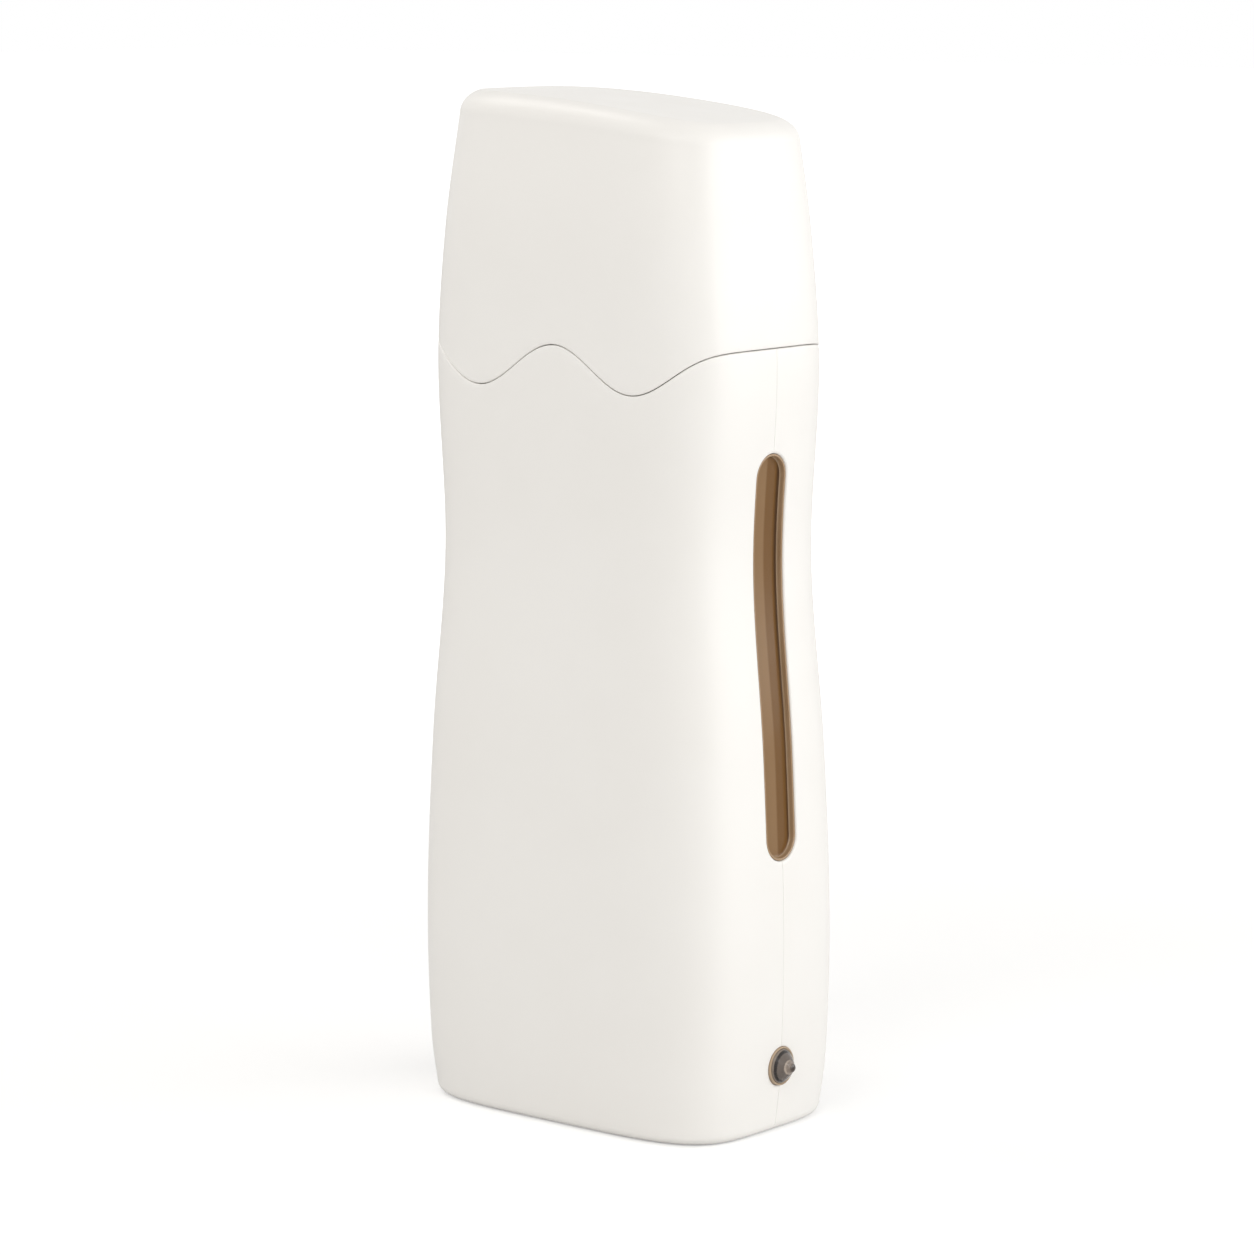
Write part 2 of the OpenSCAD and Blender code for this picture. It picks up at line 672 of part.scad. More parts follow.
// Spring strap that presses the heater and the thermal fuse against the plate
module ptc_clip() {
    width = 9;
    half = heater_size[1] / 2 + 0.4;
    low = plate_foot - heater_size[2] - strap_thick;
    color("lightsteelblue")
        difference() {
            union() {
                translate([heater_x - width / 2, -half - strap_thick, low])
                    cube([width, 2 * (half + strap_thick), strap_thick]);
                for (y = [-1, 1]) {
                    translate([heater_x - width / 2, y > 0 ? half : -half - strap_thick, low])
                        cube([width, strap_thick, heater_size[2] + strap_thick]);
                    translate([heater_x - width / 2, y > 0 ? half : -rib_offset - 2.9, plate_foot - ear_thick])
                        cube([width, rib_offset + 2.9 - half, ear_thick]);
                }
                translate([fuse_x - 2, -half - strap_thick - 3, low])
                    cube([heater_x - 3.5 - fuse_x + 2, 4, strap_thick]);
            }
            for (y = [-1, 1])
                translate([heater_x, y * rib_offset, plate_foot - ear_thick - 1])
                    cylinder(d = screw_play, h = ear_thick + 2);
        }
}

fuse_x = -0.25;
fuse_diameter = heater_size[2];
fuse_length = 8;
fuse_wire = 1.2; // bare wire at each end
fuse_y = -heater_size[1] / 2 - 0.4 - strap_thick - 1.5;
fuse_z = plate_foot - fuse_diameter / 2;
fuse_end = fuse_length / 2 + fuse_wire;
module thermal_fuse() {
    color("tan") rod_x(fuse_y, fuse_z, fuse_diameter, fuse_x - fuse_length / 2, fuse_x + fuse_length / 2);
    color("silver") {
        rod_x(fuse_y, fuse_z, 1, fuse_x - fuse_end, fuse_x - fuse_length / 2 + overlap);
        rod_x(fuse_y, fuse_z, 1, fuse_x + fuse_length / 2 - overlap, fuse_x + fuse_end);
    }
}

thermostat_diameter = 16;
thermostat_height = 11;
tab_length = 8;
tab_offset = 4;
module thermostat() {
    low = plate_foot - thermostat_height;
    color("silver")
        difference() {
            union() {
                translate([thermostat_x, 0, plate_foot - 4]) cylinder(d = thermostat_diameter, h = 4);
                translate([thermostat_x - 3, -rib_offset - 2.9, plate_foot - ear_thick])
                    cube([6, 2 * rib_offset + 5.8, ear_thick]);
            }
            for (y = [-1, 1])
                translate([thermostat_x, y * rib_offset, plate_foot - ear_thick - 1])
                    cylinder(d = screw_play, h = ear_thick + 2);
        }
    color("dimgray")
        translate([thermostat_x, 0, low]) cylinder(d = thermostat_diameter - 1, h = thermostat_height - 4 + 0.5);
    color("gold")
        for (y = [-tab_offset, tab_offset])
            translate([thermostat_x - 3.15, y - 0.4, low - tab_length]) cube([6.3, 0.8, tab_length + 1]);
}

// Four screws through the thermostat's ears and the heater's strap into the liner's ribs
module plate_screws() {
    color("lightgray")
        for (s = PLATE_SCREWS)
            translate([s[0], s[1], 0]) {
                translate([0, 0, plate_foot - ear_thick - screw_head_height]) cylinder(d = 5, h = screw_head_height);
                translate([0, 0, plate_foot - ear_thick - overlap])
                    cylinder(d = screw_diameter, h = ear_thick + plate_thick + plate_screw_grip - 0.5 + overlap);
            }
}

// ---- level window ----
flange_thick = 1;
flange_gap = 0.2; // between the shell and the window's flange
rim_inset = 0.25; // depth of the window's rim under the shell's face

// The window slot's form between two depths, drawn in by inset all round
module window_plug(depth_1, depth_2, inset) {
    intersection() {
        side_slab(depth_1, depth_2, window_low, window_high, window_width + 2);
        slot_along_x(window_width - 2 * inset, window_low + inset, window_high - inset, liner_width / 2 - 5,
            half_width(belly_height) + 2);
    }
}

module window_lens() {
    color("saddlebrown")
        union() {
            difference() {
                window_plug(rim_inset, window_recess + pane_thick, window_fit);
                window_plug(-1, window_recess, window_fit + window_rim);
            }
            intersection() {
                side_slab(shell_wall + flange_gap, shell_wall + flange_gap + flange_thick, window_low - window_flange,
                    window_high + window_flange, window_width + 2 * window_flange + 2);
                slot_along_x(window_width + 2 * window_flange, window_low - window_flange,
                    window_high + window_flange, liner_width / 2 - 5, half_width(belly_height));
            }
        }
}

// ---- pilot lamp ----
lamp_fit = 0.05;
lamp_stem = 6;
lamp_seat = half_width(lamp_height) - 0.7;
lamp_inside = half_width(lamp_height) - 9;
lamp_bore = 2.7; // blind bore up the middle of the lens
lamp_bore_end = 1.9; // its flat end, outside the shell's face
lamp_rim = 0.4; // the cone starts this far outside the shell's face
lamp_bulge = 0.15;
lamp_tip_round = 0.6;
bulb_bore = 5.2;
CONE_STEPS = 6;
module lamp_lens() {
    face = half_width(lamp_height);
    top = face + lamp_reach;
    base = face + lamp_rim;
    color("dimgray", 0.8)
        translate([0, 0, lamp_height]) rotate([0, 90, 0]) rotate_extrude()
            polygon(concat(
                [[bulb_bore / 2, lamp_inside + 2], [lamp_stem / 2, lamp_inside + 2], [lamp_stem / 2, lamp_seat],
                 [lamp_flange / 2, lamp_seat]],
                [for (i = [0 : CONE_STEPS])
                    let (t = i / CONE_STEPS)
                    [lamp_flange / 2 * (1 - t) + lamp_tip / 2 * t,
                     base + (top - lamp_tip_round - base) * t + lamp_bulge * 4 * t * (1 - t)]],
                [for (a = [15 : 15 : 90]) [lamp_tip / 2 * cos(a), top - lamp_tip_round * (1 - sin(a))]],
                [[0, face + lamp_bore_end], [lamp_bore / 2, face + lamp_bore_end],
                 [lamp_bore / 2, lamp_seat - 1], [bulb_bore / 2, lamp_seat - 2]]
            ));
}

module lamp_bezel() {
    color("tan")
        difference() {
            rod_x(0, lamp_height, lamp_flange + 2 * bezel_width, lamp_seat, half_width(lamp_height) + lamp_rim);
            rod_x(0, lamp_height, lamp_flange + 2 * lamp_fit, lamp_seat - 1, lamp_seat + 3);
        }
}

module lamp_bulb() {
    color("orangered") {
        rod_x(0, lamp_height, 5, lamp_inside - 1, lamp_seat - 2.6);
        rod_x(0, lamp_height, 5.8, lamp_inside - 1, lamp_inside);
    }
    color("silver")
        for (z = [-1.27, 1.27]) rod_x(0, lamp_height + z, 0.6, lamp_inside - 6, lamp_inside - 0.5);
}

// Push-on nut that holds the lamp lens against the inside of the shells
module lamp_nut() {
    face = half_width(lamp_height - 4.5) - shell_wall - 0.55;
    color("black")
        difference() {
            rod_x(0, lamp_height, 9, face - 1.4, face);
            rod_x(0, lamp_height, lamp_stem + 2 * lamp_fit, face - 3, face + 1);
        }
}

// ---- mains inlet ----
inlet_fit = 0.1;
contact_recess = 3.5; // the pins' ends behind the socket's face
contact_root = contact_diameter + 0.4; // thicker behind the socket's floor
inlet_body_width = socket_width + 2 * socket_wall;
inlet_half = (pin_pitch + socket_width) / 2 + socket_wall;
inlet_low = inlet_height - inlet_half;
inlet_high = inlet_height + inlet_half;
inlet_proud = 1.1; // the socket's lip stands this far outside the shell
inlet_face = half_width(inlet_height) + inlet_proud;
inlet_back = inlet_face - socket_depth - 3;
module inlet_body() {
    lip = half_width(inlet_low - 1.4) - shell_wall - 0.4;
    color("dimgray")
        difference() {
            union() {
                slot_along_x(inlet_body_width, inlet_low, inlet_high, -inlet_face, -inlet_back);
                slot_along_x(inlet_body_width + 2.8, inlet_low - 1.4, inlet_high + 1.4, -lip, -lip + 1.6);
            }
            slot_along_x(socket_width, inlet_low + socket_wall, inlet_high - socket_wall,
                -inlet_face - 1, -inlet_face + socket_depth);
            for (s = [-1, 1])
                rod_x(0, inlet_height + s * pin_pitch / 2, contact_root + 0.04,
                    -inlet_face + socket_depth - 1, -inlet_back + 1);
        }
}

module inlet_pins() {
    color("silver")
        for (s = [-1, 1]) {
            rod_x(0, inlet_height + s * pin_pitch / 2, contact_diameter, -inlet_face + contact_recess,
                -inlet_face + socket_depth + overlap);
            rod_x(0, inlet_height + s * pin_pitch / 2, contact_root, -inlet_face + socket_depth, -inlet_back + 5);
        }
}

// ---- control board ----
board_half = 17;
board_height = 24;
board_low = inner_floor + 10.7;
board_high = board_low + board_height;
capacitor = [14, 6.5, 7];
terminal_block = [9, 6.5, 7];
module control_board() {
    color("seagreen")
        difference() {
            translate([-board_half, board_face - board_thick, board_low])
                cube([2 * board_half, board_thick, board_high - board_low]);
            for (s = [-1, 1])
                rod_y(s * board_post[0], board_post[1], screw_play, board_face - board_thick - 1, board_face + 1);
        }
}

// Suppression capacitor, terminal block, series resistor and rectifier
module board_components() {
    color("goldenrod")
        translate([-5, board_face, board_low + 2]) cube(capacitor);
    color("forestgreen")
        translate([-board_half + 1, board_face, board_low + 1]) cube(terminal_block);
    color("tan")
        rod_x(board_face + 1.4, board_high - 4, 2.8, -5, 4);
    color("black")
        translate([6, board_face, board_high - 9]) cube([4, 2.4, 6]);
}

// Two small screws that hold the board on its posts
module board_screws() {
    color("lightgray")
        for (s = [-1, 1]) {
            rod_y(s * board_post[0], board_post[1], 5, board_face, board_face + screw_head_height);
            rod_y(s * board_post[0], board_post[1], screw_diameter, board_face - board_screw_length, board_face + overlap);
        }
}

// ---- leads ----
// Each lead leaves and meets its terminals end on, a hair clear of them.
lead_end = 0.1;
pin_end = -inlet_back + 5;
tab_end = plate_foot - thermostat_height - tab_length;
heater_tab_x = heater_x + heater_size[0] / 2 + 4;
heater_tab_z = plate_foot - heater_size[2] / 2;
component_face = board_face + capacitor[1];

module live_lead() {
    z = inlet_height + pin_pitch / 2;
    color("saddlebrown")
        lead([[pin_end + lead_end, 0, z], [pin_end + 1.6, 0, z],
              [thermostat_x, tab_offset - 0.1, tab_end - 2.2], [thermostat_x, tab_offset, tab_end - lead_end]]);
}

module neutral_lead() {
    z = inlet_height - pin_pitch / 2;
    block_z = board_low + 4.5;
    color("steelblue")
        lead([[pin_end + lead_end, 0, z], [pin_end + 1.5, 0, z + 0.1], [pin_end + 3.4, -1.6, board_low + 1.5],
              [-board_half + 5.5, component_face + 2, block_z], [-board_half + 5.5, component_face + lead_end, block_z]]);
}

module switched_lead() {
    left = fuse_x - fuse_end;
    color("darkred")
        lead([[thermostat_x, -tab_offset, tab_end - lead_end], [thermostat_x, -tab_offset - 0.1, tab_end - 1.3],
              [thermostat_x + 0.7, -6.3, tab_end - 2.1], [thermostat_x + 1.4, -8.1, tab_end - 0.2],
              [left - 1.3, -9.6, tab_end + 9], [left - 1, fuse_y, fuse_z - 0.1], [left - lead_end, fuse_y, fuse_z]]);
}

module heater_lead() {
    right = fuse_x + fuse_end;
    color("darkred")
        lead([[right + lead_end, fuse_y, fuse_z], [right + 1, fuse_y, fuse_z - 0.1],
              [right + 1.6, plate_front - 0.4, fuse_z - 2], [heater_x + 4, plate_front - 0.8, fuse_z - 2.5],
              [heater_tab_x - 2.6, -12, fuse_z - 2.2], [heater_tab_x + 1.6, -7, heater_tab_z - 0.6],
              [heater_tab_x + 1.4, -5, heater_tab_z], [heater_tab_x + lead_end, -5, heater_tab_z]]);
}

module return_lead() {
    color("steelblue")
        lead([[heater_tab_x + lead_end, 5, heater_tab_z], [heater_tab_x + 1.4, 5, heater_tab_z],
              [heater_tab_x + 2.2, 3.6, heater_tab_z - 1.8], [heater_tab_x - 0.4, 0.8, heater_tab_z - 4.2],
              [heater_tab_x - 4, -2, heater_tab_z - 11],
              [5, component_face + 1.8, board_low + 6], [5, component_face + lead_end, board_low + 6]]);
}

module lamp_leads() {
    color("gray")
        for (s = [-1, 1])
            lead([[lamp_inside - 6 - lead_end, 0, lamp_height + 1.27 * s], [lamp_inside - 7.6, 0, lamp_height + 1.27 * s],
                  [board_half, board_face + 6, board_low + 1.5 + 1.6 * s],
                  [board_half - 3, board_face + 2.2, board_low + 3 + 2 * s],
                  [board_half - 3, board_face + lead_end, board_low + 3 + 2 * s]]);
}

// ---- fasteners and feet ----
module housing_screws() {
    seat = boss_meet + tower_floor;
    color("lightgray")
        for (s = HOUSING_SCREWS) {
            rod_y(s[0], s[1], screw_head, seat, seat + screw_head_height);
            rod_y(s[0], s[1], screw_diameter, seat - housing_screw_length, seat + overlap);
        }
}

module rubber_feet() {
    color("darkslategray")
        for (x = [-1, 1], y = [-1, 1])
            translate([x * foot_place[0], y * foot_place[1], 0]) {
                cylinder(d1 = foot_diameter - 0.8, d2 = foot_diameter, h = 0.4);
                translate([0, 0, 0.4]) cylinder(d = foot_diameter, h = foot_stand + foot_seat - 0.4);
            }
}

// ---- cartridge ----
// Outer form of the bottle, drawn in by inset on every side
module bottle_form(inset, bottom, top) {
    round_bar(bottle_width - 2 * inset, bottle_depth - 2 * inset, bottle_round - inset, bottom,
        shoulder_level - bottom);
    hull() {
        round_bar(bottle_width - 2 * inset, bottle_depth - 2 * inset, bottle_round - inset,
            shoulder_level - 0.1, 0.1, $fn = 32);
        round_bar(neck_width - 2 * inset, neck_depth - 2 * inset, 6 - inset, neck_level - 0.1, 0.1, $fn = 32);
    }
    round_bar(neck_width - 2 * inset, neck_depth - 2 * inset, 6 - inset, neck_level - 0.1, top - neck_level + 0.1);
}

module cartridge_bottle() {
    color("navajowhite", 0.8)
        difference() {
            bottle_form(0, cartridge_stand, neck_level + neck_height);
            bottle_form(bottle_wall, cartridge_stand + bottle_wall, neck_level + neck_height + 1);
        }
}

module cartridge_wax() {
    inset = bottle_wall + 0.05;
    color("darkgoldenrod")
        round_bar(bottle_width - 2 * inset, bottle_depth - 2 * inset, bottle_round - inset,
            cartridge_stand + bottle_wall + 0.05, wax_height);
}

// Head that snaps over the neck and carries the roller between two cheeks
module roller_head() {
    fit = 0.1;
    foot = neck_level + 0.3;
    cheek_top = axis_level + pin_diameter;
    trough = roller_diameter + 2 * trough_gap;
    color("white")
        difference() {
            union() {
                round_bar(2 * head_half, head_depth, 6, foot, axis_level - 3 - foot);
                for (x = [-1, 1])
                    hull() {
                        translate([x > 0 ? cheek_inside : -head_half, -head_depth / 2 + 5, axis_level - 6])
                            cube([cheek_wall, head_depth - 10, 1]);
                        rod_x(0, axis_level, 2 * pin_diameter, x > 0 ? cheek_inside : -head_half,
                            x > 0 ? head_half : -cheek_inside);
                    }
            }
            round_bar(neck_width + 2 * fit, neck_depth + 2 * fit, 6 + fit, foot - 1, neck_height + 1.2);
            round_bar(roller_length - 6, 7, 3, foot, axis_level - foot);
            rod_x(0, axis_level, trough, -cheek_inside, cheek_inside);
            rod_x(0, axis_level, pin_diameter + 2 * pin_play, -cheek_inside - pin_length - 0.1,
                cheek_inside + pin_length + 0.1);
        }
}

module roller() {
    rounding = 0.8;
    half = roller_length / 2;
    r = roller_diameter / 2;
    pin = pin_diameter / 2;
    color("whitesmoke")
        translate([0, 0, axis_level]) rotate([0, 90, 0]) rotate_extrude()
            polygon([
                [0, -half - pin_length], [pin, -half - pin_length], [pin, -half], [r - rounding, -half],
                [r, -half + rounding], [r, half - rounding], [r - rounding, half], [pin, half],
                [pin, half + pin_length], [0, half + pin_length]
            ]);
}

cap();
front_shell();
rear_shell();
neck_collar();
chamber_liner();
heat_plate();
ptc_heater();
ptc_clip();
thermal_fuse();
thermostat();
plate_screws();
window_lens();
lamp_lens();
lamp_bezel();
lamp_bulb();
lamp_nut();
inlet_body();
inlet_pins();
control_board();
board_components();
board_screws();
live_lead();
neutral_lead();
switched_lead();
heater_lead();
return_lead();
lamp_leads();
housing_screws();
rubber_feet();
cartridge_bottle();
cartridge_wax();
roller_head();
roller();
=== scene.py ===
"""Roll-on wax heater: shells, lift-off cap, level window, pilot lamp, mains inlet and wax cartridge.

Sizes are written in millimetres and become metres where a corner is placed. X runs across, the
front faces -Y, Z is up, and the origin is the middle of the base.
"""

import json
import logging
import math
from collections.abc import Callable, Iterable, Iterator, Sequence
from contextlib import contextmanager
from dataclasses import dataclass, field
from enum import Enum

import bmesh
import bpy
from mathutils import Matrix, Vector

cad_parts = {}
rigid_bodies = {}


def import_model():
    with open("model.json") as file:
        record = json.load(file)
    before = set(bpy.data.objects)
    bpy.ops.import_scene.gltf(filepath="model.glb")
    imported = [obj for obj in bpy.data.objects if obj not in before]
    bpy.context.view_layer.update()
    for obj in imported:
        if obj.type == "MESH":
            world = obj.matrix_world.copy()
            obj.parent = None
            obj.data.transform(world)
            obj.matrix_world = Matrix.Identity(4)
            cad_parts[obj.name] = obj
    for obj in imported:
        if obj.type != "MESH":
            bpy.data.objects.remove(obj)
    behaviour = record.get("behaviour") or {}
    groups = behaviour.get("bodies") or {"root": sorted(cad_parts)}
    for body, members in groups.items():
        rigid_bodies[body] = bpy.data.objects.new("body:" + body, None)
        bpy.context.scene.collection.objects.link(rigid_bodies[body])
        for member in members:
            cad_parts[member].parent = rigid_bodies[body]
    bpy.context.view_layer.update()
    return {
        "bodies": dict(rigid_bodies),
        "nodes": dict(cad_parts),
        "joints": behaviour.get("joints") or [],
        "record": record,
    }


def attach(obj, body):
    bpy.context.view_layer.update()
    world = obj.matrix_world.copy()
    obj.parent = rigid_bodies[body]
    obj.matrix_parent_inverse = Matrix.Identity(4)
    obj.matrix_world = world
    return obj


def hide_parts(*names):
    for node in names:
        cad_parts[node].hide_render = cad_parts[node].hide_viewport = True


LOG = logging.getLogger("wax_heater")
MM = 0.001

Ring = list[Vector]
Colour = tuple[float, float, float]


# ---------------------------------------------------------------- outline


@dataclass(frozen=True)
class Station:
    """One level of the outline, in millimetres."""

    height: float
    half_width: float
    half_depth: float


@dataclass(frozen=True)
class Outline:
    """The waisted outline: a squared section whose half-width and half-depth follow the height."""

    foot: Station = Station(0.0, 36.19, 22.75)
    skirt: Station = Station(12.0, 37.54, 23.77)
    belly: Station = Station(38.0, 38.17, 24.04)
    flank: Station = Station(72.0, 36.86, 23.27)
    waist: Station = Station(108.0, 34.23, 21.83)
    brim: Station = Station(144.0, 35.91, 21.83)
    temple: Station = Station(170.0, 34.02, 21.20)
    crown: Station = Station(192.5, 31.50, 18.63)
    squareness: float = 4.4
    joint_level: float = 148.6
    wave_depth: float = 8.4
    wave_period: float = 37.2

    def stations(self) -> tuple[Station, ...]:
        """The stations from foot to crown."""
        return (
            self.foot,
            self.skirt,
            self.belly,
            self.flank,
            self.waist,
            self.brim,
            self.temple,
            self.crown,
        )

    def swell(self, z: float, size: Callable[[Station], float]) -> float:
        """Reads one size of the outline at a height.

        Args:
            z: Height in millimetres.
            size: Picks the size from a station.

        Returns:
            The size on a smooth curve through the stations.
        """
        rows = self.stations()
        last = len(rows) - 1
        i = max([k for k in range(last) if rows[k].height <= z], default=0)

        def slope(k: int) -> float:
            """How fast the size changes at a station."""
            a, b = rows[max(k - 1, 0)], rows[min(k + 1, last)]
            return (size(b) - size(a)) / (b.height - a.height)

        low, high = rows[i], rows[i + 1]
        span = high.height - low.height
        t = (z - low.height) / span
        u = 1 - t
        return (
            size(low) * u * u * (1 + 2 * t)
            + size(high) * t * t * (3 - 2 * t)
            + span * t * u * (slope(i) * u - slope(i + 1) * t)
        )

    def half_width(self, z: float) -> float:
        """Half the width at a height."""
        return self.swell(z, lambda s: s.half_width)

    def half_depth(self, z: float) -> float:
        """Half the depth at a height."""
        return self.swell(z, lambda s: s.half_depth)

    def squared(self, share: float) -> float:
        """The other coordinate of the unit section where one of them is given."""
        return max(0.0, 1 - abs(share) ** self.squareness) ** (1 / self.squareness)

    def side(self, y: float, z: float, inset: float = 0.0) -> float:
        """X of the right wall at a depth and a height, set in by inset."""
        return (self.half_width(z) - inset) * self.squared(y / (self.half_depth(z) - inset))

    def face(self, x: float, z: float, inset: float = 0.0) -> float:
        """Y of the rear wall at a place across and a height, set in by inset."""
        return (self.half_depth(z) - inset) * self.squared(x / (self.half_width(z) - inset))

    def wave(self, u: float) -> float:
        """How far the parting line dips at a place u across the unit section."""
        turn = 2 * math.pi * u * self.half_width(self.joint_level) / self.wave_period
        return self.wave_depth / 2 * (1 - math.cos(turn))

    def joint_line(self, u: float) -> float:
        """Height of the parting line at a place u across the unit section."""
        return self.joint_level - self.wave(u)

    def section(self, quarter: int) -> list[tuple[float, float]]:
        """Spaces corners evenly round the unit section.

        Args:
            quarter: Steps in each quarter.

        Returns:
            Corners from the middle of the front, round by the right side.
        """
        fine = 1500
        diagonal = 0.5 ** (1 / self.squareness)
        dense = [(diagonal * k / fine, self.squared(diagonal * k / fine)) for k in range(fine)]
        dense += [(self.squared(diagonal * k / fine), diagonal * k / fine) for k in range(fine, -1, -1)]
        wide, deep = self.waist.half_width, self.waist.half_depth
        along = [0.0]
        for a, b in zip(dense, dense[1:]):
            along.append(along[-1] + math.hypot((b[0] - a[0]) * wide, (b[1] - a[1]) * deep))
        corners, k = [], 0
        for step in range(quarter):
            goal = along[-1] * step / quarter
            while along[k + 1] < goal:
                k += 1
            t = (goal - along[k]) / (along[k + 1] - along[k])
            a, b = dense[k], dense[k + 1]
            corners.append((a[0] + (b[0] - a[0]) * t, a[1] + (b[1] - a[1]) * t))
        corners.append((1.0, 0.0))
        front = [(u, -v) for u, v in corners]
        back = [(u, v) for u, v in reversed(corners[:-1])]
        left = [(-u, v) for u, v in back[-2::-1]] + [(-1.0, 0.0)]
        return front + back + left + [(-u, v) for u, v in front[-2:0:-1]]

    def seamed(self, quarter: int, bevel: float) -> list[tuple[float, float]]:
        """The section with a corner added on each side of both seams, a bevel away from them."""
        share = bevel / self.belly.half_depth
        side = self.squared(share)
        corners = []
        for u, v in self.section(quarter):
            if abs(v) < 1e-9:
                up = 1.0 if u > 0 else -1.0
                corners += [(u * side, -share * up), (u, 0.0), (u * side, share * up)]
            else:
                corners.append((u, v))
        return corners


OUTLINE = Outline()


# ---------------------------------------------------------------- modelling helpers


class End(Enum):
    """How the end of a drawn-out form is closed."""

    OPEN = "open"
    POINT = "point"
    FLAT = "flat"


def place(x: float, y: float, z: float) -> Vector:
    """A corner given in millimetres."""
    return Vector((x * MM, y * MM, z * MM))


def clear_selection() -> None:
    """Leaves nothing selected."""
    if bpy.context.object and bpy.context.object.mode == "EDIT":
        bpy.ops.object.mode_set(mode="OBJECT")
    bpy.ops.object.select_all(action="DESELECT")


@contextmanager
def editing(piece: bpy.types.Object) -> Iterator[None]:
    """Keeps a piece in edit mode, alone and with corners selectable."""
    clear_selection()
    piece.select_set(True)
    bpy.context.view_layer.objects.active = piece
    bpy.ops.object.mode_set(mode="EDIT")
    bpy.context.tool_settings.mesh_select_mode = (True, False, False)
    try:
        yield
    finally:
        bpy.ops.object.mode_set(mode="OBJECT")


def start_ring(name: str, ring: Ring) -> bpy.types.Object:
    """Adds a circle of edges and sets its corners on a ring.

    Args:
        name: Name of the new piece.
        ring: Places of its corners.

    Returns:
        The new piece.
    """
    clear_selection()
    bpy.ops.mesh.primitive_circle_add(vertices=len(ring), radius=MM, fill_type="NOTHING")
    piece = bpy.context.object
    piece.name = name
    piece.data.name = name
    for corner, spot in zip(piece.data.vertices, ring):
        corner.co = spot
    return piece


def choose(piece: bpy.types.Object, corners: Iterable[int]) -> None:
    """Selects corners by number, and the edges and faces that lie among them."""
    bpy.ops.mesh.select_all(action="DESELECT")
    mesh = bmesh.from_edit_mesh(piece.data)
    mesh.verts.ensure_lookup_table()
    for number in corners:
        mesh.verts[number].select = True
    mesh.select_flush(True)
    bmesh.update_edit_mesh(piece.data)


def draw_out(piece: bpy.types.Object, rings: Iterable[Ring]) -> None:
    """Extrudes the selected edges once for each ring and sets the new corners on it."""
    for ring in rings:
        bpy.ops.mesh.extrude_edges_move()
        mesh = bmesh.from_edit_mesh(piece.data)
        mesh.verts.ensure_lookup_table()
        first = len(mesh.verts) - len(ring)
        for step, spot in enumerate(ring):
            mesh.verts[first + step].co = spot
        bmesh.update_edit_mesh(piece.data)


def close_end(end: End) -> None:
    """Closes the selected ring."""
    if end is End.POINT:
        bpy.ops.mesh.merge(type="CENTER")
    elif end is End.FLAT:
        bpy.ops.mesh.edge_face_add()


def finish_faces(piece: bpy.types.Object, angle: float = 35.0) -> None:
    """Turns the faces outwards and shades them smooth up to an angle in degrees."""
    with editing(piece):
        bpy.ops.mesh.select_all(action="SELECT")
        bpy.ops.mesh.remove_doubles(threshold=1e-7)
        bpy.ops.mesh.normals_make_consistent(inside=False)
    bpy.ops.object.shade_smooth_by_angle(angle=math.radians(angle))


def drawn(
    name: str, rings: Sequence[Ring], first: End = End.POINT, last: End = End.POINT, angle: float = 35.0
) -> bpy.types.Object:
    """Models a form by drawing a ring of edges through a row of places.

    Args:
        name: Name of the new piece.
        rings: The rings in order, all with as many corners.
        first: How the first ring is closed.
        last: How the last ring is closed.
        angle: Edges sharper than this many degrees stay sharp.

    Returns:
        The finished piece.
    """
    piece = start_ring(name, rings[0])
    with editing(piece):
        bpy.ops.mesh.select_all(action="SELECT")
        draw_out(piece, rings[1:])
        close_end(last)
        choose(piece, range(len(rings[0])))
        close_end(first)
    finish_faces(piece, angle)
    return piece


def round_ring(centre: tuple[float, float, float], radius: float, along: str, steps: int = 48) -> Ring:
    """A circle round a point, square to one axis."""
    ring: Ring = []
    for k in range(steps):
        a, b = radius * math.cos(math.tau * k / steps), radius * math.sin(math.tau * k / steps)
        offset = {"X": (0.0, a, b), "Y": (b, 0.0, a), "Z": (a, b, 0.0)}[along]
        ring.append(place(*(c + o for c, o in zip(centre, offset))))
    return ring


def slot_corners(reach: float, steps: int = 60, arc: int = 24) -> list[tuple[float, float, float]]:
    """Corners of a round-ended slot as (straight part, across, up), the last two a unit direction."""
    corners = [(-reach + 2 * reach * k / steps, 1.0, 0.0) for k in range(steps)]
    corners += [(reach, math.cos(math.pi * k / arc), math.sin(math.pi * k / arc)) for k in range(arc)]
    corners += [(reach - 2 * reach * k / steps, -1.0, 0.0) for k in range(steps)]
    corners += [(-reach, -math.cos(math.pi * k / arc), -math.sin(math.pi * k / arc)) for k in range(arc)]
    return corners


# ---------------------------------------------------------------- finishes


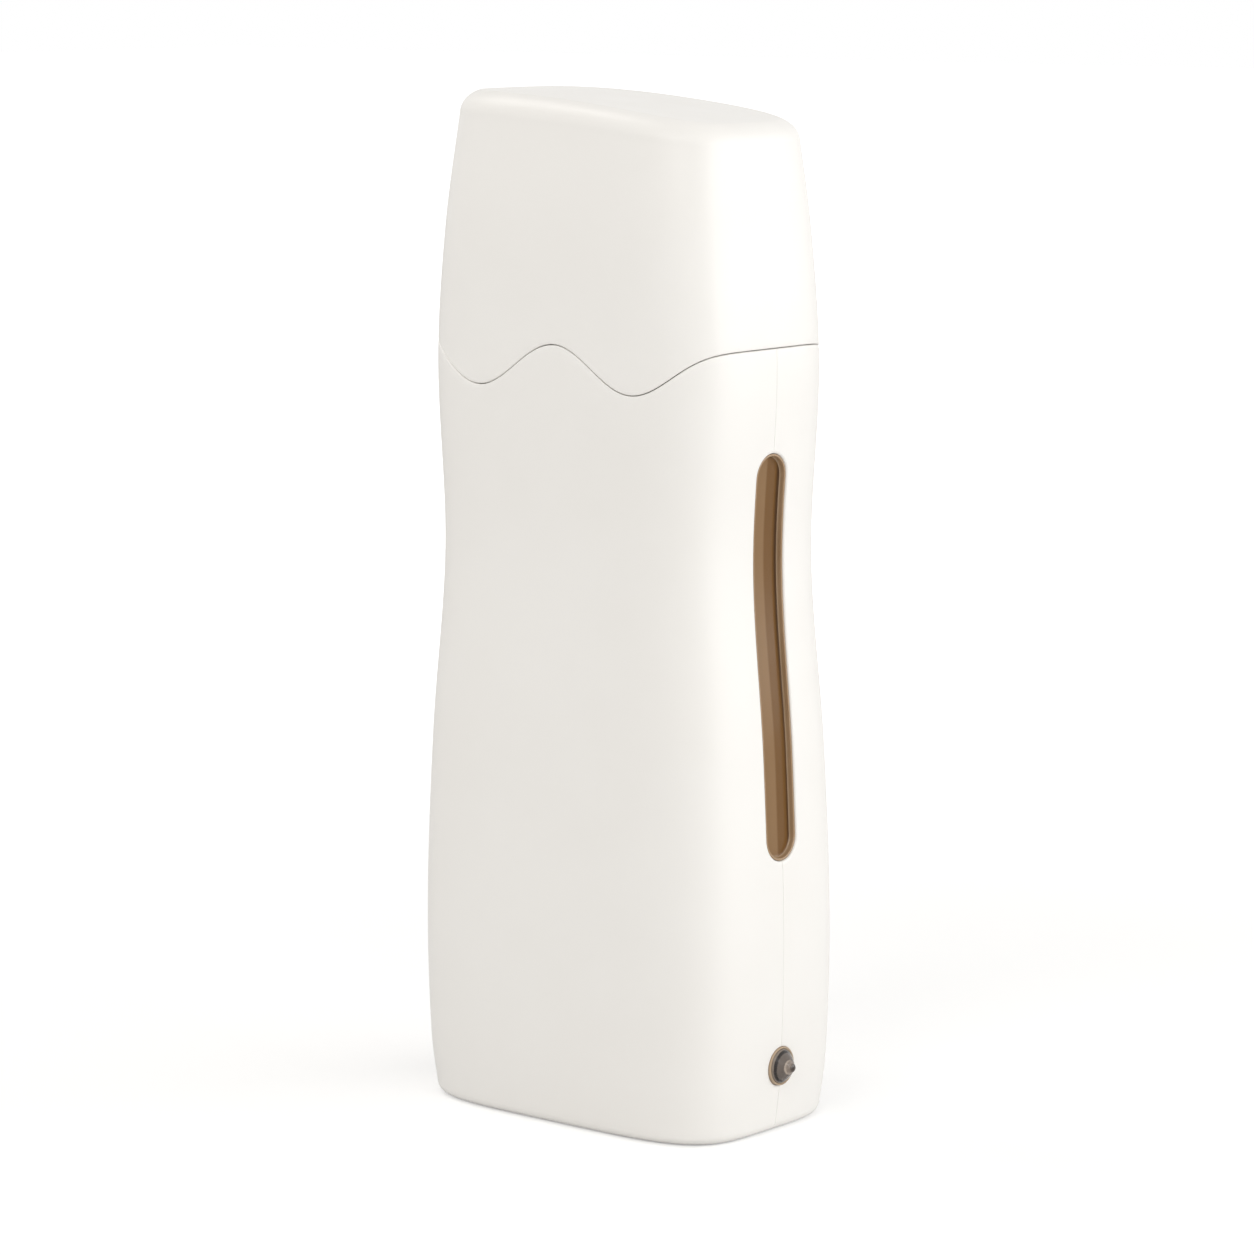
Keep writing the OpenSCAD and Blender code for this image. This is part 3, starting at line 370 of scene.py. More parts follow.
class Shader:
    """A node material under construction, on the object's own coordinates."""

    def __init__(self, name: str) -> None:
        """Starts a material with its shader and its coordinates."""
        self.material = bpy.data.materials.new(name)
        self.material.use_nodes = True
        self.nodes = self.material.node_tree.nodes
        self.links = self.material.node_tree.links
        self.surface = self.nodes["Principled BSDF"]
        self.coordinates = self.nodes.new("ShaderNodeTexCoord").outputs["Object"]

    def set(self, **sockets: float | tuple[float, ...]) -> "Shader":
        """Sets values straight on the shader's sockets, named with underscores for spaces."""
        for key, value in sockets.items():
            self.surface.inputs[key.replace("_", " ")].default_value = value
        return self

    def noise(self, scale: float, detail: float = 3.0, roughness: float = 0.55) -> bpy.types.NodeSocket:
        """A noise on the object's coordinates, its scale per metre."""
        node = self.nodes.new("ShaderNodeTexNoise")
        node.inputs["Scale"].default_value = scale
        node.inputs["Detail"].default_value = detail
        node.inputs["Roughness"].default_value = roughness
        self.links.new(self.coordinates, node.inputs["Vector"])
        return node.outputs["Fac"]

    def part(self, axis: str) -> bpy.types.NodeSocket:
        """One of the object's coordinates, in metres."""
        node = self.nodes.new("ShaderNodeSeparateXYZ")
        self.links.new(self.coordinates, node.inputs["Vector"])
        return node.outputs[axis]

    def math(self, kind: str, *values: bpy.types.NodeSocket | float) -> bpy.types.NodeSocket:
        """A Math node over sockets or numbers."""
        node = self.nodes.new("ShaderNodeMath")
        node.operation = kind
        for slot, value in zip(node.inputs, values):
            if isinstance(value, (int, float)):
                slot.default_value = value
            else:
                self.links.new(value, slot)
        return node.outputs["Value"]

    def spread(
        self, value: bpy.types.NodeSocket, low: float, high: float, to_low: float, to_high: float
    ) -> bpy.types.NodeSocket:
        """Maps a socket smoothly from one range to another."""
        node = self.nodes.new("ShaderNodeMapRange")
        node.interpolation_type = "SMOOTHSTEP"
        for key, number in (("From Min", low), ("From Max", high), ("To Min", to_low), ("To Max", to_high)):
            node.inputs[key].default_value = number
        self.links.new(value, node.inputs["Value"])
        return node.outputs["Result"]

    def blend(
        self,
        share: bpy.types.NodeSocket,
        a: Colour | bpy.types.NodeSocket,
        b: Colour | bpy.types.NodeSocket,
    ) -> bpy.types.NodeSocket:
        """Mixes two colours by a socket."""
        node = self.nodes.new("ShaderNodeMix")
        node.data_type = "RGBA"
        self.links.new(share, node.inputs["Factor"])
        for key, colour in (("A", a), ("B", b)):
            slot = [s for s in node.inputs if s.name == key and s.type == "RGBA"][0]
            if isinstance(colour, tuple):
                slot.default_value = (*colour, 1.0)
            else:
                self.links.new(colour, slot)
        return [s for s in node.outputs if s.type == "RGBA"][0]

    def feed(self, key: str, value: bpy.types.NodeSocket) -> "Shader":
        """Joins a socket to one of the shader's."""
        self.links.new(value, self.surface.inputs[key])
        return self

    def bump(self, height: bpy.types.NodeSocket, strength: float, distance: float) -> "Shader":
        """Gives the shader a relief, its distance in millimetres."""
        node = self.nodes.new("ShaderNodeBump")
        node.inputs["Strength"].default_value = strength
        node.inputs["Distance"].default_value = distance * MM
        self.links.new(height, node.inputs["Height"])
        self.links.new(node.outputs["Normal"], self.surface.inputs["Normal"])
        return self


@dataclass(frozen=True)
class MouldedPlastic:
    """Injection-moulded plastic: a soft cloudiness in the colour, a fine skin and uneven gloss."""

    name: str
    colour: Colour
    cloud: Colour
    roughness: float = 0.4
    gloss_play: float = 0.04
    grain: float = 1800.0
    grain_height: float = 0.004
    specular: float = 0.5

    def material(self) -> bpy.types.Material:
        """Makes the node material."""
        shader = Shader(self.name).set(Specular_IOR_Level=self.specular)
        cloud = shader.spread(shader.noise(28.0, 2.0), 0.35, 0.65, 0.0, 1.0)
        shader.feed("Base Color", shader.blend(cloud, self.colour, self.cloud))
        play = shader.noise(90.0, 4.0)
        low, high = self.roughness - self.gloss_play, self.roughness + self.gloss_play
        shader.feed("Roughness", shader.spread(play, 0.3, 0.7, low, high))
        shader.bump(shader.noise(self.grain, 2.0), 0.25, self.grain_height)
        return shader.material


@dataclass(frozen=True)
class Metal:
    """Bare or plated metal with fine brushing along one axis."""

    name: str
    colour: Colour
    dull: Colour
    roughness: float = 0.3
    brushing: tuple[float, float, float] = (200.0, 4000.0, 4000.0)

    def material(self) -> bpy.types.Material:
        """Makes the node material."""
        shader = Shader(self.name).set(Metallic=1.0)
        mapping = shader.nodes.new("ShaderNodeMapping")
        mapping.inputs["Scale"].default_value = self.brushing
        shader.links.new(shader.coordinates, mapping.inputs["Vector"])
        lines = shader.nodes.new("ShaderNodeTexNoise")
        lines.inputs["Scale"].default_value = 1.0
        lines.inputs["Detail"].default_value = 4.0
        shader.links.new(mapping.outputs["Vector"], lines.inputs["Vector"])
        streak = lines.outputs["Fac"]
        share = shader.spread(streak, 0.3, 0.7, 0.0, 1.0)
        shader.feed("Base Color", shader.blend(share, self.colour, self.dull))
        shader.feed("Roughness", shader.spread(streak, 0.3, 0.7, self.roughness - 0.08, self.roughness + 0.1))
        shader.bump(streak, 0.2, 0.01)
        return shader.material


@dataclass(frozen=True)
class ClearPlastic:
    """Tinted see-through plastic."""

    name: str
    tint: Colour
    deep: Colour
    through: float = 0.8
    roughness: float = 0.12
    ior: float = 1.49

    def material(self) -> bpy.types.Material:
        """Makes the node material."""
        shader = Shader(self.name).set(Transmission_Weight=self.through, IOR=self.ior)
        cloud = shader.spread(shader.noise(60.0, 2.0), 0.35, 0.65, 0.0, 1.0)
        shader.feed("Base Color", shader.blend(cloud, self.tint, self.deep))
        play = shader.noise(200.0, 3.0)
        shader.feed("Roughness", shader.spread(play, 0.3, 0.7, self.roughness * 0.7, self.roughness * 1.4))
        shader.bump(shader.noise(300.0, 1.0), 0.05, 0.002)
        return shader.material


@dataclass(frozen=True)
class WindowBrown:
    """Smoked brown plastic of the level window: its own deep brown, with a painted light band over the front of its
    floor for light seen through the pane, and painted shade along the foot of its rear wall.
    """

    name: str = "smoked brown plastic"
    # pale is painted light: the lighter band over the front of the floor.
    pale: Colour = (0.255, 0.150, 0.070)
    deep: Colour = (0.172, 0.086, 0.028)
    # Painted shade along the foot of the rear wall.
    painted_foot_shade: Colour = (0.085, 0.045, 0.020)
    light_band_edge: float = 0.35
    foot_shade_at: float = 3.4
    through: float = 0.0
    waist_level: float = 0.09
    lean: float = 0.005

    def material(self) -> bpy.types.Material:
        """Makes the node material."""
        shader = Shader(self.name).set(Transmission_Weight=self.through, IOR=1.49, Specular_IOR_Level=0.2)
        above = shader.math("SUBTRACT", shader.part("Z"), self.waist_level)
        y = shader.math("ADD", shader.part("Y"), shader.math("MULTIPLY", above, self.lean))
        drift = shader.math("MULTIPLY", shader.math("SUBTRACT", shader.noise(22.0, 1.0), 0.5), 0.0012)
        y = shader.math("ADD", y, drift)
        # first marks the painted light band over the front; the next mask marks the painted shade at the rear
        # wall's foot.
        first = shader.spread(y, (self.light_band_edge - 0.35) * MM, (self.light_band_edge + 0.35) * MM, 0.0, 1.0)
        foot_shade_share = shader.spread(y, (self.foot_shade_at - 0.5) * MM, (self.foot_shade_at + 0.4) * MM, 0.0, 1.0)
        tone = shader.blend(foot_shade_share, shader.blend(first, self.pale, self.deep), self.painted_foot_shade)
        shader.feed("Base Color", tone)
        shader.feed("Roughness", shader.spread(shader.noise(120.0, 3.0), 0.3, 0.7, 0.12, 0.22))
        shader.bump(shader.noise(500.0, 2.0), 0.1, 0.004)
        return shader.material


@dataclass(frozen=True)
class BandedSmoke:
    """Smoked lens plastic with bands painted along the cone: painted shade in a band near its foot and at its tip,
    a painted light line at its foot and its smoke tone between, standing in for its inner steps seen through it.
    """

    name: str = "lamp smoke"
    # line is painted light along the cone's foot.
    line: Colour = (0.40, 0.33, 0.27)
    painted_shade: Colour = (0.030, 0.022, 0.018)
    middle: Colour = (0.23, 0.19, 0.163)
    face: float = 37.59

    def material(self) -> bpy.types.Material:
        """Makes the node material."""
        shader = Shader(self.name).set(Transmission_Weight=0.45, IOR=1.49, Roughness=0.05)
        x = shader.part("X")
        drift = shader.math("MULTIPLY", shader.math("SUBTRACT", shader.noise(300.0, 2.0), 0.5), 0.0005)
        x = shader.math("ADD", x, drift)
        tone = self.line
        # Bands of painted shade near the foot and at the tip, with the smoke tone between.
        steps = ((0.66, 0.08, self.painted_shade), (1.12, 0.12, self.middle), (2.95, 0.2, self.painted_shade))
        for start, blur, colour in steps:
            low, high = (self.face + start - blur) * MM, (self.face + start + blur) * MM
            tone = shader.blend(shader.spread(x, low, high, 0.0, 1.0), tone, colour)
        shader.feed("Base Color", tone)
        shader.feed("Roughness", shader.spread(shader.noise(400.0, 2.0), 0.3, 0.7, 0.04, 0.09))
        shader.bump(shader.noise(700.0, 2.0), 0.08, 0.004)
        return shader.material


@dataclass(frozen=True)
class BoreHighlight:
    """A painted highlight on the end of the lamp's bore, made to glow: a pale ring round a duller middle, standing
    in for the reflection on that end face.
    """

    name: str = "lamp bore painted highlight"
    ring: Colour = (0.86, 0.79, 0.68)
    middle: Colour = (0.34, 0.29, 0.25)
    height: float = 13.0

    def material(self) -> bpy.types.Material:
        """Makes the node material."""
        shader = Shader(self.name).set(Roughness=0.4)
        y, z = shader.part("Y"), shader.math("SUBTRACT", shader.part("Z"), self.height * MM)
        # The ring's centre is set 0.3 mm aside, so the painted highlight reads as a crescent.
        aside = shader.math("ADD", y, -0.0003)
        squares = [shader.math("MULTIPLY", side, side) for side in (aside, z)]
        reach = shader.math("SQRT", shader.math("ADD", *squares))
        edge = shader.spread(reach, 0.00085, 0.0011, 0.0, 1.0)
        cloud = shader.spread(shader.noise(1500.0, 2.0), 0.3, 0.7, 0.8, 1.0)
        tone = shader.blend(edge, self.middle, self.ring)
        # The glow is painted highlight, standing in for the reflection on the bore's end.
        shader.feed("Base Color", tone)
        shader.feed("Emission Color", tone)
        shader.feed("Emission Strength", shader.math("MULTIPLY", cloud, 1.3))
        return shader.material


@dataclass(frozen=True)
class Wax:
    """Honey-coloured wax: cloudy, soft at its surface and lit from within."""

    name: str = "honey wax"
    pale: Colour = (0.72, 0.38, 0.08)
    deep: Colour = (0.45, 0.17, 0.02)

    def material(self) -> bpy.types.Material:
        """Makes the node material."""
        shader = Shader(self.name)
        shader.set(Subsurface_Weight=0.5, Subsurface_Radius=(1.0, 0.5, 0.2), Subsurface_Scale=0.004)
        swirl = shader.spread(shader.noise(70.0, 5.0, 0.6), 0.3, 0.7, 0.0, 1.0)
        shader.feed("Base Color", shader.blend(swirl, self.pale, self.deep))
        shader.feed("Roughness", shader.spread(shader.noise(150.0, 3.0), 0.3, 0.7, 0.18, 0.34))
        shader.bump(shader.noise(120.0, 1.0), 0.15, 0.02)
        return shader.material


@dataclass(frozen=True)
class Rubber:
    """Soft dark rubber with a fine dusty skin."""

    name: str = "foot rubber"
    colour: Colour = (0.030, 0.030, 0.031)
    dust: Colour = (0.060, 0.059, 0.057)

    def material(self) -> bpy.types.Material:
        """Makes the node material."""
        shader = Shader(self.name)
        dusty = shader.spread(shader.noise(900.0, 5.0), 0.4, 0.7, 0.0, 1.0)
        shader.feed("Base Color", shader.blend(dusty, self.colour, self.dust))
        shader.feed("Roughness", shader.spread(shader.noise(1500.0), 0.3, 0.7, 0.65, 0.85))
        shader.bump(shader.noise(2500.0, 4.0), 0.5, 0.02)
        return shader.material


Finish = MouldedPlastic | Metal | ClearPlastic | WindowBrown | BandedSmoke | BoreHighlight | Wax | Rubber

SHELL_WHITE = MouldedPlastic("shell white", (0.868, 0.852, 0.822), (0.858, 0.840, 0.808))
COLLAR_WHITE = MouldedPlastic("collar white", (0.80, 0.79, 0.76), (0.78, 0.77, 0.735), roughness=0.45)
LINER_GREY = MouldedPlastic(
    "liner nylon", (0.62, 0.61, 0.58), (0.57, 0.56, 0.53), roughness=0.55, grain_height=0.012
)
HEAD_WHITE = MouldedPlastic("roller head white", (0.82, 0.82, 0.81), (0.80, 0.80, 0.785), roughness=0.28)
ROLLER_WHITE = MouldedPlastic(
    "roller white", (0.78, 0.78, 0.77), (0.75, 0.75, 0.735), roughness=0.4, grain_height=0.008
)
INLET_BLACK = MouldedPlastic(
    "inlet black", (0.012, 0.012, 0.013), (0.018, 0.018, 0.018), roughness=0.42, grain_height=0.012
)
NUT_BLACK = MouldedPlastic("push nut black", (0.015, 0.015, 0.015), (0.02, 0.02, 0.02), roughness=0.5)
CERAMIC = MouldedPlastic(
    "heater ceramic", (0.60, 0.52, 0.36), (0.52, 0.44, 0.30), roughness=0.6, grain_height=0.02
)
FUSE_TAN = MouldedPlastic(
    "fuse ceramic", (0.48, 0.36, 0.19), (0.42, 0.31, 0.16), roughness=0.5, grain_height=0.02
)
BOARD_GREEN = MouldedPlastic("board green", (0.02, 0.12, 0.05), (0.03, 0.16, 0.07), roughness=0.35)
COMPONENT = MouldedPlastic("component amber", (0.45, 0.28, 0.03), (0.38, 0.22, 0.02), roughness=0.35)
LEAD_BROWN = MouldedPlastic("lead brown", (0.11, 0.04, 0.015), (0.09, 0.03, 0.012), roughness=0.4)
LEAD_BLUE = MouldedPlastic("lead blue", (0.015, 0.09, 0.30), (0.012, 0.07, 0.25), roughness=0.4)
LEAD_RED = MouldedPlastic("lead red", (0.28, 0.01, 0.008), (0.23, 0.008, 0.006), roughness=0.4)
LEAD_GREY = MouldedPlastic("lead grey", (0.17, 0.17, 0.175), (0.14, 0.14, 0.145), roughness=0.4)
BEZEL_BEIGE = MouldedPlastic("bezel beige", (0.47, 0.36, 0.25), (0.42, 0.31, 0.21), roughness=0.25)
PLATE_ALUMINIUM = Metal("rolled aluminium", (0.80, 0.80, 0.82), (0.70, 0.70, 0.72), 0.32)
SPRING_STEEL = Metal("spring steel", (0.56, 0.57, 0.58), (0.46, 0.47, 0.48), 0.3)
SCREW_ZINC = Metal("zinc-plated steel", (0.62, 0.62, 0.62), (0.52, 0.52, 0.51), 0.28, (900.0, 900.0, 900.0))
CONTACT_NICKEL = Metal("nickel-plated brass", (0.78, 0.76, 0.70), (0.70, 0.67, 0.60), 0.18)
BOTTLE_CLEAR = ClearPlastic("bottle plastic", (0.97, 0.95, 0.91), (0.95, 0.92, 0.87), 0.92, 0.1)
BULB_GLASS = ClearPlastic("bulb glass", (0.96, 0.62, 0.35), (0.90, 0.45, 0.22), 0.6, 0.08)
LAMP_SMOKE = BandedSmoke()
LAMP_BORE_HIGHLIGHT = BoreHighlight()
WINDOW_BROWN = WindowBrown()
# A lighter brown on the window's rim: painted light that lifts the rim out of its shade.
WINDOW_RIM_PAINTED_LIGHT = ClearPlastic("window rim painted light", (0.46, 0.31, 0.185), (0.40, 0.26, 0.145), 0.15, 0.14)
WAX = Wax()
RUBBER = Rubber()


class Wardrobe:
    """Makes each finish once and puts it on pieces and CAD nodes."""

    def __init__(self, frame: dict) -> None:
        """Keeps the frame whose nodes are dressed."""
        self.frame = frame
        self.made: dict[str, bpy.types.Material] = {}

    def cloth(self, finish: Finish) -> bpy.types.Material:
        """The material of a finish, made on its first use."""
        if finish.name not in self.made:
            self.made[finish.name] = finish.material()
        return self.made[finish.name]

    def dress(self, piece: bpy.types.Object, body: str, slot: str, *finishes: Finish) -> bpy.types.Object:
        """Gives a new piece its finishes and its body.

        Args:
            piece: The new piece.
            body: The body that it rides on.
            slot: The record's slot; not used.
            finishes: Its finishes, in the order of the faces' material numbers.

        Returns:
            The piece.
        """
        for finish in finishes:
            piece.data.materials.append(self.cloth(finish))
        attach(piece, body)
        LOG.info("%s: %d faces, on %s", piece.name, len(piece.data.polygons), body)
        return piece

    def dress_node(self, node: str, finish: Finish) -> None:
        """Gives a CAD node its finish."""
        thing = self.frame["nodes"][node]
        thing.data.materials.clear()
        thing.data.materials.append(self.cloth(finish))
        LOG.info("%s: node, %s", node, finish.name)


# ---------------------------------------------------------------- housing


class Wall(Enum):
    """The wall that an opening goes through."""

    RIGHT = "right"
    LEFT = "left"
    REAR = "rear"


@dataclass(frozen=True)
class Step:
    """One ring of an opening: its radius, and its depth under the outer face or its own plane."""

    radius: float
    inset: float = 0.0
    plane: float | None = None


@dataclass(frozen=True)
class Opening:
    """A round or round-ended opening through the housing's wall, in millimetres."""

    wall: Wall
    across: float
    height: float
    reach: float
    margin: float
    steps: tuple[Step, ...]
    seam: float = 0.11

    def spot(self, a: float, z: float, step: Step) -> Vector:
        """A corner on the opening's wall at a place across and a height."""
        if self.wall is Wall.REAR:
            y = OUTLINE.face(a, z, step.inset) if step.plane is None else step.plane
            return place(a, y, z)
        groove = self.seam if abs(a) < 1e-6 else 0.0
        x = OUTLINE.side(a, z, step.inset) - groove
        return place(x if self.wall is Wall.RIGHT else -x, a, z)

    def flat(self, corner: Vector) -> tuple[float, float]:
        """Where a corner lies across the wall and up it."""
        return (corner.x if self.wall is Wall.REAR else corner.y) / MM, corner.z / MM

    def rings(self, rim: Ring) -> list[Ring]:
        """The rings from the patch's rim to the opening's last step.

        Args:
            rim: The corners round the patch that the opening is cut in.

        Returns:
            Four rings across the outer face, then one for each step.
        """
        toward = []
        for corner in rim:
            a, z = self.flat(corner)
            foot = min(max(z, self.height - self.reach), self.height + self.reach)
            run = Vector((a - self.across, z - foot))
            toward.append((a, z, foot, run.normalized()))
        rings = []
        first = self.steps[0]
        for share in (0.28, 0.54, 0.76, 0.91):
            ring = []
            for a, z, foot, way in toward:
                b, c = self.across + way.x * first.radius, foot + way.y * first.radius
                ring.append(self.spot(a + (b - a) * share, z + (c - z) * share, first))
            rings.append(ring)
        for step in self.steps:
            rings.append(
                [
                    self.spot(self.across + way.x * step.radius, foot + way.y * step.radius, step)
                    for _, _, foot, way in toward
                ]
            )
        return rings


def rounded_lip(radius: float, lip: float, turns: int = 4) -> tuple[Step, ...]:
    """The steps of an opening's rounded edge, from the outer face down to its full depth."""
    steps = []
    for k in range(turns + 1):
        turn = math.radians(90 * k / turns)
        steps.append(Step(radius + lip * (1 - math.sin(turn)), lip * (1 - math.cos(turn))))
    return tuple(steps)


@dataclass
class Housing:
    """The two clamped shells, with their seam, window slot, lamp hole, inlet opening and screw holes."""

    wardrobe: Wardrobe
    floor_level: float = 0.1
    inner_floor: float = 3.3
    wall: float = 2.2
    base_round: float = 1.8
    rim_round: float = 0.3
    quarter: int = 64
    rows: int = 120
    wave_from: float = 116.0
    seam_bevel: float = 0.11
    slot_radius: float = 4.5
    slot_low: float = 52.4
    slot_high: float = 129.0
    screw_heads: tuple[tuple[float, float], ...] = ((27.0, 35.0), (-27.0, 35.0), (12.0, 8.5), (-12.0, 8.5))
    counterbore: float = 3.1
    tower: float = 4.2
    screw_seat: float = 2.55
    lamp_height: float = 13.0
    lamp_hole: float = 3.75
    lamp_stem: float = 3.05
    lamp_seat: float = 0.7
    inlet_height: float = 17.0
    inlet_reach: float = 4.3
    inlet_hole: float = 5.6
    section: list[tuple[float, float]] = field(default_factory=list)

    def level(self, row: int, u: float) -> float:
        """Height of a wall row at a place u across, level below and following the wave on top."""
        top = OUTLINE.joint_level - self.rim_round
        z = self.inner_floor + (top - self.inner_floor) * row / self.rows
        t = min(max((z - self.wave_from) / (top - self.wave_from), 0.0), 1.0)
        return z - OUTLINE.wave(u) * t * t * (3 - 2 * t)

    def ring(self, inset: float, height: Callable[[float], float]) -> Ring:
        """A ring of the section, set in by inset, at the height for each place across."""
        ring = []
        for u, v in self.section:
            z = height(u)
            groove = self.seam_bevel if v == 0 and inset < self.wall else 0.0
            x, y = u * (OUTLINE.half_width(z) - inset - groove), v * (OUTLINE.half_depth(z) - inset)
            ring.append(place(x, y, z))
        return ring

    def wall_rings(self) -> tuple[list[Ring], int, int]:
        """All rings from the base's edge over the rim to the inner floor, and where the walls start."""
        rings = []
        for k in range(7):
            turn = math.radians(15 * k)
            low = self.floor_level + self.base_round * (1 - math.cos(turn))
            rings.append(self.ring(self.base_round * (1 - math.sin(turn)), lambda u, low=low: low))
        outer = len(rings)
        for row in range(self.rows + 1):
            rings.append(self.ring(0.0, lambda u, row=row: self.level(row, u)))
        r = self.rim_round
        for k in range(1, 5):
            turn = math.radians(22.5 * k)
            rings.append(
                self.ring(
                    r * (1 - math.cos(turn)), lambda u, t=turn: OUTLINE.joint_line(u) - r * (1 - math.sin(t))
                )
            )
        rings.append(self.ring(self.wall - r, OUTLINE.joint_line))
        inner = len(rings)
        for row in range(self.rows, -1, -1):
            rings.append(self.ring(self.wall, lambda u, row=row: self.level(row, u)))
        return rings, outer, inner

    def openings(self) -> list[Opening]:
        """Every opening in the walls."""
        middle = (self.slot_low + self.slot_high) / 2
        reach = (self.slot_high - self.slot_low) / 2 - self.slot_radius
        through = self.wall
        window = Opening(
            Wall.RIGHT,
            0.0,
            middle,
            reach,
            3.6,
            rounded_lip(self.slot_radius, 0.45) + (Step(self.slot_radius, through),),
        )
        lamp = Opening(
            Wall.RIGHT,
            0.0,
            self.lamp_height,
            0.0,
            3.4,
            rounded_lip(self.lamp_hole, 0.15, 3)
            + (
                Step(self.lamp_hole, self.lamp_seat),
                Step(self.lamp_stem, self.lamp_seat),
                Step(self.lamp_stem, through),
            ),
        )
        inlet = Opening(
            Wall.LEFT,
            0.0,
            self.inlet_height,
            self.inlet_reach,
            2.9,
            rounded_lip(self.inlet_hole, 0.4) + (Step(self.inlet_hole, through),),
        )
        screws = [
            Opening(
                Wall.REAR,
                x,
                z,
                0.0,
                2.1,
                rounded_lip(self.counterbore, 0.3, 3)
                + (
                    Step(self.counterbore, plane=self.screw_seat),
                    Step(1.5, plane=self.screw_seat),
                    Step(1.5, plane=0.05),
                    Step(self.tower, plane=0.05),
                    Step(self.tower, through),
                ),
            )
            for x, z in self.screw_heads
        ]
        return [window, lamp, inlet, *screws]

    def patch(self, opening: Opening) -> tuple[int, int, int, int]:
        """The rows and columns of the patch of wall that an opening is cut in."""
        radius = opening.steps[0].radius + opening.margin
        low, high = opening.height - opening.reach - radius, opening.height + opening.reach + radius
        span = OUTLINE.joint_level - self.rim_round - self.inner_floor
        bottom = max(math.floor((low - self.inner_floor) / span * self.rows), 0)
        top = min(math.ceil((high - self.inner_floor) / span * self.rows), self.rows - 2)
        z = opening.height
        columns = []
        for column, (u, v) in enumerate(self.section):
            x, y = u * OUTLINE.half_width(z), v * OUTLINE.half_depth(z)
            if opening.wall is Wall.REAR:
                hit = y > 0 and abs(x - opening.across) <= radius
            else:
                hit = abs(y) <= radius and x * (1 if opening.wall is Wall.RIGHT else -1) > 0
            if hit:
                columns.append(column)
        return bottom, top, min(columns), max(columns)

    def cut(self, piece: bpy.types.Object, outer: int, inner: int) -> None:
        """Cuts every opening: draws each from the outer wall to the inner one, then takes the patches out."""
        count = len(self.section)
        doomed: list[set[int]] = []
        for opening in self.openings():
            bottom, top, left, right = self.patch(opening)
            cells = [(row, column) for row in range(bottom, top + 1) for column in range(left, right + 1)]
            edge = [c for c in cells if c[0] in (bottom, top) or c[1] in (left, right)]

            def out_number(cell: tuple[int, int]) -> int:
                """Number of a cell's corner on the outer wall."""
                return (outer + cell[0]) * count + cell[1]

            def in_number(cell: tuple[int, int]) -> int:
                """Number of a cell's corner on the inner wall."""
                return (inner + self.rows - cell[0]) * count + cell[1]

            order = sorted(edge, key=out_number)
            mesh = bmesh.from_edit_mesh(piece.data)
            mesh.verts.ensure_lookup_table()
            rim = [mesh.verts[out_number(c)].co.copy() for c in order]
            last = [mesh.verts[in_number(c)].co.copy() for c in order]
            choose(piece, [out_number(c) for c in order])
            draw_out(piece, opening.rings(rim) + [last])
            doomed += [{out_number(c) for c in cells}, {in_number(c) for c in cells}]
        bpy.ops.mesh.select_all(action="DESELECT")
        mesh = bmesh.from_edit_mesh(piece.data)
        for face in mesh.faces:
            numbers = {corner.index for corner in face.verts}
            if any(numbers <= patch for patch in doomed):
                face.select = True
        bmesh.update_edit_mesh(piece.data)
        bpy.ops.mesh.delete(type="FACE")

    def whole(self) -> bpy.types.Object:
        """Models both shells as one closed wall with all its openings."""
        self.section = OUTLINE.seamed(self.quarter, self.seam_bevel)
        rings, outer, inner = self.wall_rings()
        piece = start_ring("shells", rings[0])
        with editing(piece):
            bpy.ops.mesh.select_all(action="SELECT")
            draw_out(piece, rings[1:])
            bpy.ops.mesh.edge_face_add()
            bpy.ops.mesh.poke()
            choose(piece, range(len(self.section)))
            bpy.ops.mesh.edge_face_add()
            bpy.ops.mesh.poke()
            self.cut(piece, outer, inner)
        return piece

    def half(self, whole: bpy.types.Object, name: str, front: bool) -> bpy.types.Object:
        """Cuts a copy of the whole wall at the seam and keeps one side.

        Args:
            whole: Both shells as one.
            name: Name of the half.
            front: Whether the front is kept.

        Returns:
            The half shell.
        """
        clear_selection()
        whole.select_set(True)
        bpy.context.view_layer.objects.active = whole
        bpy.ops.object.duplicate()
        piece = bpy.context.object
        piece.name = name
        piece.data.name = name
        with editing(piece):
            bpy.ops.mesh.select_all(action="SELECT")
            bpy.ops.mesh.remove_doubles(threshold=1e-7)
            bpy.ops.mesh.bisect(
                plane_co=(0, 0, 0),
                plane_no=(0, 1, 0),
                use_fill=True,
                clear_outer=front,
                clear_inner=not front,
                threshold=1e-6,
            )
        finish_faces(piece)
        return piece

    def build(self) -> None:
        """Builds and dresses the two shells."""
        whole = self.whole()
        for name, front in (("front_half", True), ("rear_half", False)):
            piece = self.half(whole, name, front)
            self.wardrobe.dress(piece, "housing", "shell_white", SHELL_WHITE)
            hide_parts("front_shell" if front else "rear_shell")
        bpy.data.objects.remove(whole)


# ---------------------------------------------------------------- cap


